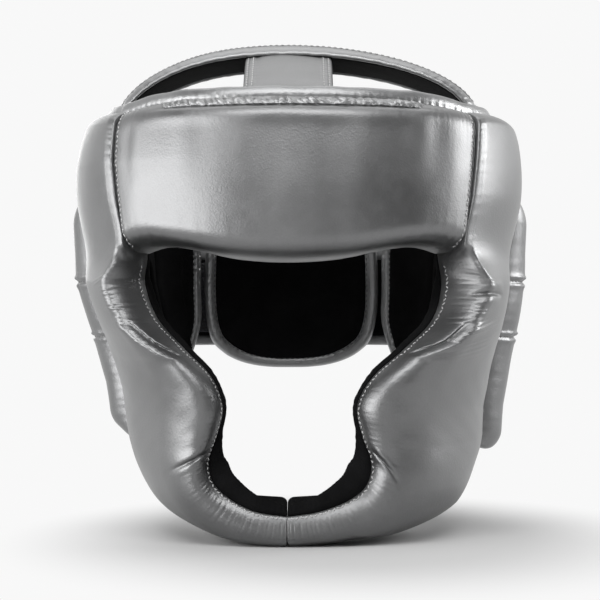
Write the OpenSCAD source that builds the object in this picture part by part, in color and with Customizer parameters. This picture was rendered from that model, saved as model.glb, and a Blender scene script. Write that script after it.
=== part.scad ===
// Full-face boxing headguard: foam pads in leather covers, sewn into one shell,
// with a crown band, a top strap, ear guards, a hanging back pad and a rear closing strap.
// Millimetres. The front faces -Y, +Z is up and the wearer's left is at +X.
// The origin is the centre of the neck opening, level with the flat under the chin bar.

/* [Head] */
// Inside width of the shell, between the temple linings
head_w = 160; // [152:1:170]
// Inside length of the shell, from forehead lining to back pad lining
head_l = 186; // [178:1:196]
// Height of the forehead pad's top edge above the chin bar's base
forehead_top = 215; // [209:1:221]
// Height of the crown band's top above the chin bar's base
crown_top = 256.5; // [251:0.5:262]

/* [Face opening] */
// Height of the forehead pad's lower edge at its middle
brow_h = 138.5; // [135:0.5:142]
// Width of the face opening at the eyes
eye_w = 151; // [145:1:157]
// Narrowest gap between the cheek pads
cheek_gap = 68; // [62:1:74]
// Width of the face opening at the mouth
mouth_w = 80; // [74:1:86]
// How far the chin bar's front edge stands in front of the origin
chin_reach = 116; // [112:1:120]
// Depth of the chin bar from its front edge to its rear edge
chin_bar_d = 32; // [28:1:36]

/* [Padding] */
// Thickness of the forehead pad
forehead_t = 26; // [22:1:30]
// Thickness of the side pads at the temples
temple_t = 31; // [27:1:34]
// Thickness of the side pads at the cheeks
cheek_t = 27; // [23:1:30]
// Thickness of the chin bar
chin_t = 15.5; // [14:0.5:17]
// Thickness of the ear panels
ear_panel_t = 18; // [15:1:20]
// Thickness of the ear guards
ear_guard_t = 23.5; // [18:0.5:25]
// Thickness of the rear wings
wing_t = 15; // [12:1:17]
// Thickness of the back pad
back_t = 16; // [12:1:18]
// Thickness of the leather of the covers
skin = 1.4; // [1:0.1:1.8]
// Thickness of the lining
lining_t = 2.6; // [2:0.1:3.2]

/* [Bands and straps] */
// Width of the crown band, front to back
crown_w = 60; // [50:1:66]
// Thickness of the crown band without its lining
crown_t = 4.4; // [4:0.1:6]
// Width of the top strap
strap_w = 46; // [38:1:50]
// Thickness of the straps
strap_t = 2.4; // [1.8:0.1:3]
// Height of the folded binding along the shell's top edge
top_binding_h = 9; // [6:0.5:11]
// Width of the bindings
binding_w = 6; // [4:0.5:7]
// Width of the rear strap, top to bottom
rear_strap_w = 58; // [48:1:60]

/* [Back pad] */
// Half the width of the back pad
back_half_w = 51; // [46:0.5:53]
// Height of the back pad's lower edge above the chin bar's base
back_low = 80; // [74:1:88]

/* [Hidden] */

// Colours of the leather, the lining, the foam and the hook-and-loop patches
silver = [0.70, 0.71, 0.71];
black = [0.09, 0.09, 0.10];
foam = [0.86, 0.82, 0.68];
patch = [0.16, 0.16, 0.17];

// Clearances: between layers of one pad, across a seam and between moving pads
layer_gap = 0.1;
lining_gap = 0.3;
guard_gap = 0.5;
seam_gap = 0.4;
chin_gap = 0.2;
free_gap = 0.5;

// The head that the hand-chosen stations below are drawn for
std_head_w = 160;
std_head_l = 186;
std_top = 215;

// A station point moved to the chosen head size
function on_head(p) = [
    p.x * head_w / std_head_w,
    p.y * head_l / std_head_l,
    p.z * forehead_top / std_top
];

// Small helpers
function unit(v) = v / norm(v);
function mix(a, b, t) = a + (b - a) * t;
function clamp01(t) = min(1, max(0, t));

// Smooth value at t, from 0 to 1, through a list of equally spaced stations
function through(list, t) =
    let (last = len(list) - 1)
    let (x = clamp01(t) * last)
    let (i = min(floor(x), last - 1))
    let (f = x - i)
    let (p0 = list[max(i - 1, 0)])
    let (p1 = list[i])
    let (p2 = list[i + 1])
    let (p3 = list[min(i + 2, last)])
    (p1 * 2 + (p2 - p0) * f + (p0 * 2 - p1 * 5 + p2 * 4 - p3) * f * f
        + (p1 * 3 - p0 - p2 * 3 + p3) * f * f * f) * 0.5;

// A pad is a list of stations. Each is [first edge, its normal, second edge, its normal,
// [thickness, bow, 0]], on the lining face. s runs along the stations, u across them,
// and t is the height above the lining face.
function pad_at(pad, s, u, t) =
    let (q = through(pad, s))
    let (n = unit(mix(q[1], q[3], u)))
    mix(q[0], q[2], u) + n * (q[4][1] * 4 * u * (1 - u) + t);
function pad_thick(pad, s) = through(pad, s)[4][0];
function pad_width(pad, s) =
    let (q = through(pad, s))
    norm(q[2] - q[0]);

// Rounding of a pad's edge: height share at distance d from the edge, over reach r
function roll(d, r) = sqrt(1 - pow(1 - min(1, d / r), 2));

// Stations across a pad: [place, height share], close together at both edges
function across(n, r) = [for (i = [0:n])
    let (u = (1 - cos(180 * i / n)) / 2)
    [u, roll(min(u, 1 - u), r)]];

// Stations along a pad: [place, height share]. start and end are [reach, height] of its ends.
end_steps = [0.06, 0.4, 1];
function along(n, start, end) = concat(
    [[0, 0]],
    [for (f = end_steps) [start[0] * f, mix(start[1], 1, sin(90 * f))]],
    [for (i = [1:n - 1]) [mix(start[0], 1 - end[0], i / n), 1]],
    [for (i = [len(end_steps) - 1:-1:0])
        [1 - end[0] * end_steps[i], mix(end[1], 1, sin(90 * end_steps[i]))]],
    [[1, 0]]);

// Grid of points over a pad, drawn in by inset all round and kept above the floor.
// The height is lift, plus fat shares of the pad's thickness and plus more off the border.
function pad_grid(pad, ss, us, length, inset, lift, fat, plus) = [for (a = ss)
    let (ms = inset / length)
    let (s = ms + a[0] * (1 - 2 * ms))
    let (thick = pad_thick(pad, s))
    let (mu = inset / pad_width(pad, s))
    [for (b = us)
        let (h = a[1] * b[1])
        let (t = lift + (h == 0 ? 0 : fat * thick * h + plus))
        let (p = pad_at(pad, s, mu + b[0] * (1 - 2 * mu), t))
        [p.x, p.y, max(p.z, inset)]]];

// Two triangles for each cell of a grid whose points start at index first
function cell(a, b, c, d, turned) = turned ? [[a, b, c], [a, c, d]] : [[a, c, b], [a, d, c]];

// Solid between an outer and an inner grid of the same size. With shared borders the two
// grids meet along their border, and otherwise a rim joins them.
module between(outer, inner, shared) {
    rows = len(outer);
    cols = len(outer[0]);
    count = rows * cols;
    k = floor(rows / 2);
    i = floor(cols / 2);
    side = cross(outer[k + 1][i] - outer[k][i], outer[k][i + 1] - outer[k][i]);
    turned = side * (outer[k][i] - inner[k][i]) < 0;
    function edge(r, c) = r == 0 || c == 0 || r == rows - 1 || c == cols - 1;
    function low(r, c) = shared && edge(r, c) ? r * cols + c : count + r * cols + c;
    loop = concat(
        [for (c = [0:cols - 2]) [0, c]],
        [for (r = [0:rows - 2]) [r, cols - 1]],
        [for (c = [cols - 1:-1:1]) [rows - 1, c]],
        [for (r = [rows - 1:-1:1]) [r, 0]]);
    // Two corner cells are cut the other way, so that no triangle has only border points
    function crosswise(r, c) = (r == 0 && c == cols - 2) || (r == rows - 2 && c == 0);
    faces = [
        for (r = [0:rows - 2], c = [0:cols - 2])
            let (q = [[r, c], [r + 1, c], [r + 1, c + 1], [r, c + 1]])
            let (k = crosswise(r, c) ? 1 : 0)
            let (top = [for (j = [0:3]) let (v = q[(j + k) % 4]) v[0] * cols + v[1]])
            let (under = [for (j = [0:3]) let (v = q[(j + k) % 4]) low(v[0], v[1])])
            each concat(cell(top[0], top[1], top[2], top[3], turned),
                cell(under[0], under[1], under[2], under[3], !turned)),
        if (!shared) for (j = [0:len(loop) - 1])
            let (a = loop[j])
            let (b = loop[(j + 1) % len(loop)])
            each cell(a[0] * cols + a[1], b[0] * cols + b[1], low(b[0], b[1]),
                low(a[0], a[1]), turned)
    ];
    polyhedron(points = concat([for (row = outer) each row], [for (row = inner) each row]),
        faces = faces, convexity = 6);
}

// The three layers of a pad
module cover_of(pad, ss, us, length) {
    between(pad_grid(pad, ss, us, length, 0, 0, 1, 0),
        pad_grid(pad, ss, us, length, skin, 0, 1, -skin), false);
}
module foam_of(pad, ss, us, length) {
    inset = skin + layer_gap;
    between(pad_grid(pad, ss, us, length, inset, 0, 1, -inset),
        pad_grid(pad, ss, us, length, inset, 0, 0, 0), true);
}
module lining_of(pad, ss, us, length) {
    between(pad_grid(pad, ss, us, length, 0, -lining_gap, 0, 0),
        pad_grid(pad, ss, us, length, 0, -lining_gap, 0, -lining_t), true);
}

// Thin patch lying on the outer face of a pad
module patch_on(pad, ss, us) {
    between(pad_grid(pad, ss, us, 1, 0, 0, 1, lining_gap + patch_t),
        pad_grid(pad, ss, us, 1, 0, 0, 1, lining_gap), false);
}

// Closed tube or strip through a list of rings with equal, even numbers of points. The first
// half of a ring runs along one side of the strip, and the second half back along the other.
module sweep(rings) {
    n = len(rings[0]);
    last = len(rings) - 1;
    area = cross(rings[0][1] - rings[0][0], rings[0][n - 1] - rings[0][0]);
    turned = area * (rings[1][0] - rings[0][0]) > 0;
    faces = [
        for (r = [0:last - 1], c = [0:n - 1])
            each cell(r * n + c, (r + 1) * n + c, (r + 1) * n + (c + 1) % n,
                r * n + (c + 1) % n, turned),
        for (c = [0:n / 2 - 2])
            each cell(c, c + 1, n - 2 - c, n - 1 - c, turned),
        for (c = [0:n / 2 - 2])
            each cell(last * n + c, last * n + c + 1, last * n + n - 2 - c,
                last * n + n - 1 - c, !turned)
    ];
    polyhedron(points = [for (ring = rings) each ring], faces = faces, convexity = 6);
}

// Ring of a folded edge strip that lies on the lining face from a pad's border inward
function bind_ring(pad0, s0, u0, pad1, s1, u1) = [
    pad_at(pad0, s0, u0, -lining_gap),
    pad_at(pad0, s0, u0, -lining_t),
    mix(pad_at(pad0, s0, u0, -lining_t - 0.8), pad_at(pad1, s1, u1, -lining_t - 0.8), 0.3),
    mix(pad_at(pad0, s0, u0, -lining_t - 0.8), pad_at(pad1, s1, u1, -lining_t - 0.8), 0.7),
    pad_at(pad1, s1, u1, -lining_t),
    pad_at(pad1, s1, u1, -lining_gap)
];

// Seam between the forehead pad and a side pad, on the lining face
seam_top = on_head([80, -50, 213.5]);
seam_low = on_head([74, -71, 0]) + [0, 0, brow_h + 5];
seam_top_n = [0.53, -0.83, 0.25];
seam_low_n = [0.45, -0.89, 0];
function seam_point(f) = mix(seam_top, seam_low, f);
function seam_normal(f) = mix(seam_top_n, seam_low_n, f);

// Forehead pad, from the wearer's left seam to the right one, top edge first
brow = [0, 1.5, 6, 8];
forehead_half = [
    [on_head([66, -65, 214.5]), [0.58, -0.77, 0.29],
        on_head([61, -82, 0]) + [0, 0, brow_h + brow[3]], [0.50, -0.86, 0], [forehead_t, 2, 0]],
    [on_head([48, -77, 215]), [0.45, -0.83, 0.33],
        on_head([44, -92.5, 0]) + [0, 0, brow_h + brow[2]], [0.42, -0.90, 0], [forehead_t, 2, 0]],
    [on_head([26, -85.5, 215]), [0.22, -0.90, 0.35],
        on_head([24, -99, 0]) + [0, 0, brow_h + brow[1]], [0.20, -0.98, 0], [forehead_t, 2, 0]]
];
forehead_mid = [on_head([0, -88, 215]), [0, -0.93, 0.37],
    on_head([0, -101, 0]) + [0, 0, brow_h + brow[0]], [0, -1, 0], [forehead_t, 2, 0]];
forehead_end = [seam_point(0) + [-seam_gap / 2, -seam_gap / 2, 0], seam_top_n,
    seam_point(1) + [-seam_gap / 2, -seam_gap / 2, 0], seam_low_n, [forehead_t, 2, 0]];
function flipped(st) = [for (i = [0:4]) i == 4 ? st[4] : [-st[i].x, st[i].y, st[i].z]];
forehead_pad = concat(
    [forehead_end],
    forehead_half,
    [forehead_mid],
    [for (i = [2:-1:0]) flipped(forehead_half[i])],
    [flipped(forehead_end)]);
forehead_len = 230;
forehead_roll = 0.18;
forehead_ss = along(8, [0.06, 0.7], [0.06, 0.7]);
forehead_us = across(8, forehead_roll);

// Side pad, from the temple top down the cheek to the seam in the middle of the chin bar.
// The first edge is the seam and the face opening, the second is the rear and jaw edge.
eye_half = eye_w / 2;
cheek_half = cheek_gap / 2;
mouth_half = mouth_w / 2;
seam_step = [seam_gap / 2, seam_gap / 2, 0];
side_pad = [
    [seam_point(0) + seam_step, seam_normal(0),
        on_head([86, 22, 212]), [1, 0.05, 0.25], [temple_t - 3, 5, 0]],
    [seam_point(0.24) + seam_step, seam_normal(0.24),
        on_head([88, 20, 196]), [1, 0.05, 0.15], [temple_t, 6, 0]],
    [seam_point(0.61) + seam_step, seam_normal(0.61),
        on_head([88, 16, 172]), [1, 0.05, 0.08], [temple_t, 7, 0]],
    [seam_point(0.98) + seam_step, seam_normal(0.98),
        on_head([84, 12, 148]), [1, 0.03, 0], [temple_t - 3, 8, 0]],
    [[eye_half, -80, 127], [0.75, -0.66, 0],
        on_head([82, 9, 128]), [1, 0, 0], [cheek_t, 8, 0]],
    [[eye_half - 5, -88, 110], [0.66, -0.75, 0],
        on_head([80.5, 6, 112]), [1, 0, -0.05], [cheek_t - 1, 9, 0]],
    [[cheek_half + 23, -98, 96], [0.50, -0.86, 0],
        on_head([78, 4, 98]), [1, 0, -0.08], [cheek_t, 10, 0]],
    [[cheek_half + 7.5, -103, 82], [0.38, -0.92, -0.02],
        on_head([76, 2, 84]), [1, 0, -0.12], [cheek_t, 12, 0]],
    [[cheek_half, -105, 68], [0.33, -0.94, -0.05],
        on_head([74, 0, 70]), [1, 0, -0.20], [cheek_t, 12, 0]],
    [[cheek_half + 2, -105, 54], [0.33, -0.94, -0.10],
        on_head([72, -3, 57]), [0.95, 0, -0.30], [cheek_t - 1, 11, 0]],
    [[mouth_half, -106, 42], [0.33, -0.92, -0.20],
        on_head([67, -12, 45]), [0.90, -0.05, -0.43], [cheek_t - 3, 9, 0]],
    [[mouth_half - 2, -109, 32], [0.32, -0.85, -0.42],
        on_head([62, -32, 34]), [0.75, -0.10, -0.65], [cheek_t - 6, 6, 0]],
    [[mouth_half - 10, -112, 24], [0.25, -0.70, -0.66],
        on_head([50, -54, 26]), [0.50, -0.15, -0.85], [chin_t + 2.5, 4, 0]],
    [[mouth_half - 24, 1 - chin_reach, 17], [0.12, -0.55, -0.83],
        [30, 41 - chin_reach, 20], [0.25, -0.15, -0.95], [chin_t + 1, 2.5, 0]],
    [[chin_gap / 2, -chin_reach, 14.5], [0, -0.45, -0.89],
        [chin_gap / 2, chin_bar_d - chin_reach, 18], [0, -0.10, -1], [chin_t, 2, 0]]
];
side_len = 300;
side_ss = along(18, [0.05, 0.5], [0.03, 0.8]);
side_roll = 0.15;
side_us = across(9, side_roll);

// Ear panel, behind the side pad, with the hole for the ear. Its rear edge is the hinge line.
ear_rear = [
    [84, 58, 180], [84, 58, 172], [84, 58, 160], [83, 58, 144], [82, 58, 126],
    [81, 58, 110], [79, 56, 95], [76, 50, 82], [72.5, 42, 69], [68, 33, 57], [64, 20, 46]
];
ear_rear_n = [0.93, 0.37, 0];
function ear_rear_normal(i) = ear_rear_n - [0, 0, 0.1 * max(0, i - 6)];
ear_panel = [for (i = [0:len(ear_rear) - 1])
    [side_pad[i][2] + [0, seam_gap, 0], side_pad[i][3],
        on_head(ear_rear[i]), ear_rear_normal(i), [ear_panel_t, 4, 0]]];
ear_panel_len = 150;
ear_panel_ss = along(8, [0.1, 0.5], [0.1, 0.5]);
ear_panel_us = across(5, 0.3);

// Part of a pad's stations, between two places along or across it
function part_of(list, from, to) = [for (a = list) [mix(from, to, a[0]), a[1]]];

// Hole for the ear, upright and round ended
ear_hole_r = 17;
ear_hole_rise = 9;
ear_hole_at = on_head([0, 33, 122]);

// Ear guard, lying on the ear panel, with two sewn tucks
guard_taper = 4;
guard_top_taper = 3;
ear_guard = [for (i = [0:len(ear_panel) - 1])
    let (st = ear_panel[i])
    let (taper = guard_taper * clamp01((i - 4) / 4) + guard_top_taper * clamp01((3 - i) / 2))
    let (thick = ear_guard_t - taper)
    [st[0] + unit(st[1]) * (ear_panel_t + guard_gap), st[1],
        st[2] + unit(st[3]) * (ear_panel_t + guard_gap), st[3], [thick, 4, 0]]];
guard_from = 0.14;
guard_to = 0.95;
tuck_at = [0.385, 0.57];
tuck_half = 0.022;
tuck_depth = 0.3;
function tucked(s) = min([for (c = tuck_at)
    let (d = abs(s - c) / tuck_half)
    d >= 1 ? 1 : 1 - tuck_depth * (1 - d)]);
guard_places = concat(
    [for (d = [0, 0.005, 0.03, 0.07, 0.12, 0.17]) guard_from + d],
    [for (c = tuck_at) each [c - tuck_half, c, c + tuck_half, c + 0.08]],
    [0.7, 0.77, 0.84, 0.89, 0.925, 0.945, 0.95]);
guard_round = 0.1;
ear_guard_ss = [for (s = guard_places)
    [s, roll(min(s - guard_from, guard_to - s), guard_round) * tucked(s)]];
ear_guard_us = across(6, 0.35);
ear_guard_len = 150;

// Rear wing, from the hinge line behind the ear round to its free end
wing_hinge = [for (p = [[84, 58, 170], [83, 58, 148], [82, 58, 126], [80.5, 58, 106], [79, 58, 94]])
    on_head(p) + [0, free_gap, 0]];
wing_end = [for (p = [[56, 84, 166], [55, 85, 147], [55, 85, 127], [55, 85, 107], [60, 81, 88]])
    on_head(p)];
wing = [for (i = [0:4])
    [wing_hinge[i], ear_rear_n, wing_end[i], [0.62, 0.78, 0], [wing_t, 4, 0]]];
wing_len = 76;
wing_ss = along(4, [0.12, 0.5], [0.12, 0.5]);
wing_us = across(5, 0.3);

wing_bound_u = 1 - (binding_w + layer_gap) / 42;
wing_bound_s = (binding_w + layer_gap) / wing_len;
wing_border = concat(
    [for (u = [0.12, 0.45, 0.75]) [0, u, -1, 0]],
    [[0, 1, -1, 1]],
    [for (s = [0.25, 0.5, 0.75]) [s, 1, 0, 1]],
    [[1, 1, 1, 1]],
    [for (u = [0.75, 0.45, 0.12]) [1, u, 1, 0]]);
function wing_bind_ring(q) =
    let (s1 = q[0] - q[2] * wing_bound_s)
    let (u1 = q[1] - q[3] * (1 - wing_bound_u))
    bind_ring(wing, q[0], q[1], wing, s1, u1);

// Loop patch on the outer face of the wing
patch_t = 1;
patch_inset = 4;
loop_ss = [for (s = [0.24, 0.4, 0.6, 0.76]) [s, 1]];
loop_us = [for (u = [0.34, 0.5, 0.66, 0.8]) [u, roll(min(u, 1 - u), 0.3)]];

// Back pad: [half width, distance of its middle behind the origin, height, upward lean]
back_turn = 116;
back_bow = 11;
back_round = 2.6;
back_upper = [
    [26, 68, 226, 0.80], [34, 80, 213, 0.60], [43, 91, 192, 0.30], [49, 97, 168, 0.10]
];
back_angles = [0, 24, 42, 57, 70, 80, 86];
function back_station(half, y, z, lean) =
    let (bow = back_bow * pow(half / back_half_w, 2))
    let (tilt = 0.36 * half / back_half_w)
    [[half, y * head_l / std_head_l - bow, z], [tilt, 0.93, lean],
        [-half, y * head_l / std_head_l - bow, z], [-tilt, 0.93, lean], [back_t, bow, 0]];
function back_outline(inset) = concat(
    [for (q = back_upper) [q[0] * back_half_w / 51 - inset, q[1], q[2], q[3]]],
    [[back_half_w - inset, 98, 142, 0]],
    [for (a = back_angles)
        [(back_half_w - inset) * pow(cos(a), 2 / back_round), 98,
            back_turn - (back_turn - back_low - inset) * pow(sin(a), 2 / back_round), 0]]);
function back_pad(inset) = [for (q = back_outline(inset)) back_station(q[0], q[1], q[2], q[3])];
back_len = 190;
back_ss = along(12, [0.05, 0.5], [0.03, 0.6]);
back_us = across(8, 0.25);

back_border = concat(
    [for (s = [0.02:0.07:0.95]) [s, 0]],
    [[1, 0], [1, 1]],
    [for (s = [0.93:-0.07:0]) [s, 1]]);

// Loop patch on the outer face of the back pad, under the strap's end
back_loop_ss = [for (s = [0.09, 0.14, 0.19, 0.24]) [s, 1]];
back_loop_us = [for (u = [0.32, 0.5, 0.68]) [u, 1]];

// Crown band, an arch over the head from the right temple to the left one
crown_half = 98;
crown_foot = 217.5;
crown_front = -27;
crown_steps = [0, 8, 20, 33, 48, 66, 90, 114, 132, 147, 160, 172, 180];
function crown_point(a, y, drop) = [
    -(crown_half * head_w / std_head_w - drop) * cos(a),
    y,
    crown_foot + (crown_top - crown_foot - drop) * sin(a)
];
function crown_rear_y(a) = crown_front + crown_w - 12 * (1 - sin(a));
function crown_normal(a) = unit([-cos(a) * 0.5, 0, sin(a) + 0.02]);
function crown_ring(a, y0, y1, drop0, drop1) = [
    crown_point(a, y0, drop0),
    crown_point(a, y1, drop0),
    crown_point(a, y1, drop1),
    crown_point(a, y0, drop1)
];
crown_inner = crown_t + layer_gap + lining_t / 2;

// Round-backed folded strip round the edge of the crown band, seen along the arch
function edge_ring(a, y, way) = [
    crown_point(a, y, 0),
    crown_point(a, y + way * binding_w * 0.7, 0),
    crown_point(a, y + way * binding_w, crown_inner * 0.3),
    crown_point(a, y + way * binding_w, crown_inner * 0.7),
    crown_point(a, y + way * binding_w * 0.7, crown_inner),
    crown_point(a, y, crown_inner)
];

// Points along the crest of the shell's top edge, from the middle of the forehead to the ear
crest_u = 0.02;
crest_share = [0.45, 0.64];
function forehead_crest(s) =
    pad_at(forehead_pad, s, crest_u, pad_thick(forehead_pad, s) * roll(crest_u, forehead_roll) * 0.9);
function side_crest(u) =
    pad_at(side_pad, 0, u, pad_thick(side_pad, 0) * mix(crest_share[0], crest_share[1], clamp01(u * 3)));
top_half = concat(
    [for (s = [0.5, 0.42, 0.34, 0.26, 0.18, 0.1]) forehead_crest(s)],
    [for (u = [0.06, 0.16, 0.28, 0.42, 0.58, 0.74, 0.88]) side_crest(u)]);
top_path = concat(
    [for (i = [len(top_half) - 1:-1:1]) [-top_half[i].x, top_half[i].y, top_half[i].z]],
    top_half);
top_binding_t = 3.6;
function top_ring(i) =
    let (p = top_path[i])
    let (d = top_path[min(i + 1, len(top_path) - 1)] - top_path[max(i - 1, 0)])
    let (out = unit([d.y, -d.x, 0]) * top_binding_t / 2)
    let (up = [0, 0, 1])
    [
        p - out + up * seam_gap,
        p + out + up * seam_gap,
        p + out + up * (top_binding_h - 1.2),
        p + out * 0.4 + up * top_binding_h,
        p - out * 0.4 + up * top_binding_h,
        p - out + up * (top_binding_h - 1.2)
    ];

// Strap across the head: a flat strip whose middle follows [y, z] points and arches in X
top_arch = 2.6;
back_arch = 1.8;
function strap_point(p, n, x, half, lift) =
    let (q = p + n * lift)
    [x * half, q.x, q.y];
function strap_ring(p, n, half, thick, arch) = [
    for (x = [-1, -0.5, 0, 0.5, 1]) strap_point(p, n, x, half, -arch * x * x),
    for (x = [1, 0.5, 0, -0.5, -1]) strap_point(p, n, x, half, thick - arch * x * x)
];
function path_normal(path, i) =
    let (d = path[min(i + 1, len(path) - 1)] - path[max(i - 1, 0)])
    unit([-d.y, d.x]);
module strap_along(path, half, thick, arch) {
    sweep([for (i = [0:len(path) - 1])
        strap_ring(path[i], path_normal(path, i), half, thick, arch)]);
}
crown_under = crown_top - crown_inner - free_gap;
function sewn_under(u) =
    let (p = pad_at(forehead_pad, 0.5, u, -lining_t - free_gap - strap_t))
    [p.y, p.z];
top_strap_path = [
    sewn_under(0.12), sewn_under(0.02), [-80, 222], [-72, 229.5], [-58, 236.5], [-42, 243],
    [-30, crown_under - strap_t - 1.5], [-20, crown_under - strap_t],
    [10, crown_under - strap_t], [crown_front + crown_w - 2, crown_under - strap_t]
];

// Where the back pad and its strap hang from the crown band's rear edge
hang_y = crown_front + crown_w + binding_w / 2;
function over_back(s, lift) =
    let (p = pad_at(back_pad(0), s, 0.5, back_t + lift))
    [p.y, p.z];
back_strap_lift = 2 * patch_t + 2 * lining_gap + 2 * seam_gap;
back_strap_path = concat(
    [[hang_y, crown_under - strap_t - 0.4], [hang_y + 14, crown_under - strap_t - 2.8],
        [hang_y + 29, crown_under - strap_t - 6.5]],
    [for (s = [0.04, 0.08, 0.12, 0.16, 0.2]) over_back(s, back_strap_lift)]);

// Rear strap, a bowed flap whose inner face follows a rounded curve behind the pads
rear_half_x = 109;
rear_reach_y = 117;
rear_round = 2.5;
strap_lining_t = 1.2;
rear_mid_z = 121.5;
rear_xs = [84, 75, 65, 54, 42, 28, 14, 0, -14, -28, -42, -54, -66, -77, -86, -92];
// The root end comes down on to the left wing, from root_from outwards
root_from = 62;
root_seat = 3.7;
function root_drop(x) = max(0, x - root_from) / (rear_xs[0] - root_from) * root_seat;
function rear_y(x, off) = (rear_reach_y * head_l / std_head_l + off)
    * pow(1 - pow(abs(x) / (rear_half_x + off), rear_round), 1 / rear_round);
function rear_ring(x, half, off0, off1) =
    let (slope = (rear_y(x + 1, 0) - rear_y(x - 1, 0)) / 2)
    let (n = unit([-slope, 1, 0]))
    let (p = [x, rear_y(x, 0), rear_mid_z] - n * root_drop(x))
    [
        p + n * off0 + [0, 0, -half],
        p + n * off1 + [0, 0, -half],
        p + n * off1 + [0, 0, half],
        p + n * off0 + [0, 0, half]
    ];

module ear_hole() {
    translate([0, ear_hole_at.y, ear_hole_at.z]) {
        for (way = [-1, 1]) translate([40, 0, way * ear_hole_rise])
            rotate([0, 90, 0]) cylinder(h = 90, r = ear_hole_r, $fn = 40);
        translate([40, -ear_hole_r, -ear_hole_rise])
            cube([90, 2 * ear_hole_r, 2 * ear_hole_rise]);
    }
}

// Forehead
module forehead_cover() {
    color(silver) cover_of(forehead_pad, forehead_ss, forehead_us, forehead_len);
}
module forehead_foam() {
    color(foam) foam_of(forehead_pad, forehead_ss, forehead_us, forehead_len);
}
module forehead_lining() {
    color(black) lining_of(forehead_pad, forehead_ss, forehead_us, forehead_len);
}

// Left side, mirrored for the right one
module left_side_cover() { color(silver) cover_of(side_pad, side_ss, side_us, side_len); }
module left_side_foam() { color(foam) foam_of(side_pad, side_ss, side_us, side_len); }
module left_side_lining() { color(black) lining_of(side_pad, side_ss, side_us, side_len); }
module right_side_cover() { mirror([1, 0, 0]) left_side_cover(); }
module right_side_foam() { mirror([1, 0, 0]) left_side_foam(); }
module right_side_lining() { mirror([1, 0, 0]) left_side_lining(); }

module left_ear_panel_cover() {
    color(silver) difference() {
        cover_of(ear_panel, ear_panel_ss, ear_panel_us, ear_panel_len);
        ear_hole();
    }
}
module left_ear_panel_foam() {
    color(foam) difference() {
        foam_of(ear_panel, ear_panel_ss, ear_panel_us, ear_panel_len);
        ear_hole();
    }
}
module left_ear_panel_lining() {
    color(black) difference() {
        lining_of(ear_panel, ear_panel_ss, ear_panel_us, ear_panel_len);
        ear_hole();
    }
}
module right_ear_panel_cover() { mirror([1, 0, 0]) left_ear_panel_cover(); }
module right_ear_panel_foam() { mirror([1, 0, 0]) left_ear_panel_foam(); }
module right_ear_panel_lining() { mirror([1, 0, 0]) left_ear_panel_lining(); }

module left_ear_guard_cover() {
    color(silver) cover_of(ear_guard, ear_guard_ss, ear_guard_us, ear_guard_len);
}
module left_ear_guard_foam() {
    color(foam) foam_of(ear_guard, ear_guard_ss, ear_guard_us, ear_guard_len);
}
module right_ear_guard_cover() { mirror([1, 0, 0]) left_ear_guard_cover(); }
module right_ear_guard_foam() { mirror([1, 0, 0]) left_ear_guard_foam(); }

// Top edge, crown band and top strap
module top_binding() {
    color(silver) sweep([for (i = [0:len(top_path) - 1]) top_ring(i)]);
}
module crown_cover() {
    color(silver) sweep([for (a = crown_steps)
        crown_ring(a, crown_front, crown_rear_y(a), 0, skin)]);
}
module crown_foam() {
    color(foam) sweep([for (a = crown_steps)
        crown_ring(a, crown_front, crown_rear_y(a), skin + layer_gap, crown_t)]);
}
module crown_lining() {
    color(black) sweep([for (a = crown_steps)
        crown_ring(a, crown_front, crown_rear_y(a), crown_t + layer_gap, crown_inner)]);
}
module crown_front_binding() {
    color(silver) sweep([for (a = crown_steps) edge_ring(a, crown_front - layer_gap, -1)]);
}
module crown_rear_binding() {
    color(silver) sweep([for (a = crown_steps) edge_ring(a, crown_rear_y(a) + layer_gap, 1)]);
}
module top_strap() {
    color(silver) strap_along(top_strap_path, strap_w / 2, strap_t, top_arch);
}

// Back pad with its strap
module back_pad_cover() { color(silver) cover_of(back_pad(0), back_ss, back_us, back_len); }
module back_pad_foam() { color(foam) foam_of(back_pad(0), back_ss, back_us, back_len); }
module back_pad_lining() {
    color(black) lining_of(back_pad(binding_w + layer_gap), back_ss, back_us, back_len);
}
module back_pad_binding() {
    whole = back_pad(0);
    inner = back_pad(binding_w);
    color(silver) sweep([for (q = back_border) bind_ring(whole, q[0], q[1], inner, q[0], q[1])]);
}
module back_pad_loop_patch() {
    color(patch) patch_on(back_pad(0), back_loop_ss, back_loop_us);
}
module back_strap_hook_patch() {
    last = len(back_strap_path) - 1;
    color(patch) strap_along([for (i = [last - 3:last]) back_strap_path[i]
        - path_normal(back_strap_path, i) * (patch_t + lining_gap)],
        strap_w / 2 - patch_inset, patch_t, back_arch);
}
module back_strap() {
    color(silver) strap_along(back_strap_path, strap_w / 2, strap_t, back_arch);
}

// Rear wings
module left_wing_cover() { color(silver) cover_of(wing, wing_ss, wing_us, wing_len); }
module left_wing_foam() { color(foam) foam_of(wing, wing_ss, wing_us, wing_len); }
module left_wing_lining() {
    ss = part_of(wing_ss, wing_bound_s, 1 - wing_bound_s);
    color(black) lining_of(wing, ss, part_of(wing_us, 0, wing_bound_u), wing_len);
}
module left_wing_binding() {
    color(silver) sweep([for (q = wing_border) wing_bind_ring(q)]);
}
module right_wing_cover() { mirror([1, 0, 0]) left_wing_cover(); }
module right_wing_foam() { mirror([1, 0, 0]) left_wing_foam(); }
module right_wing_lining() { mirror([1, 0, 0]) left_wing_lining(); }
module right_wing_binding() { mirror([1, 0, 0]) left_wing_binding(); }
module right_wing_loop_patch() {
    mirror([1, 0, 0]) color(patch) patch_on(wing, loop_ss, loop_us);
}

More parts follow.
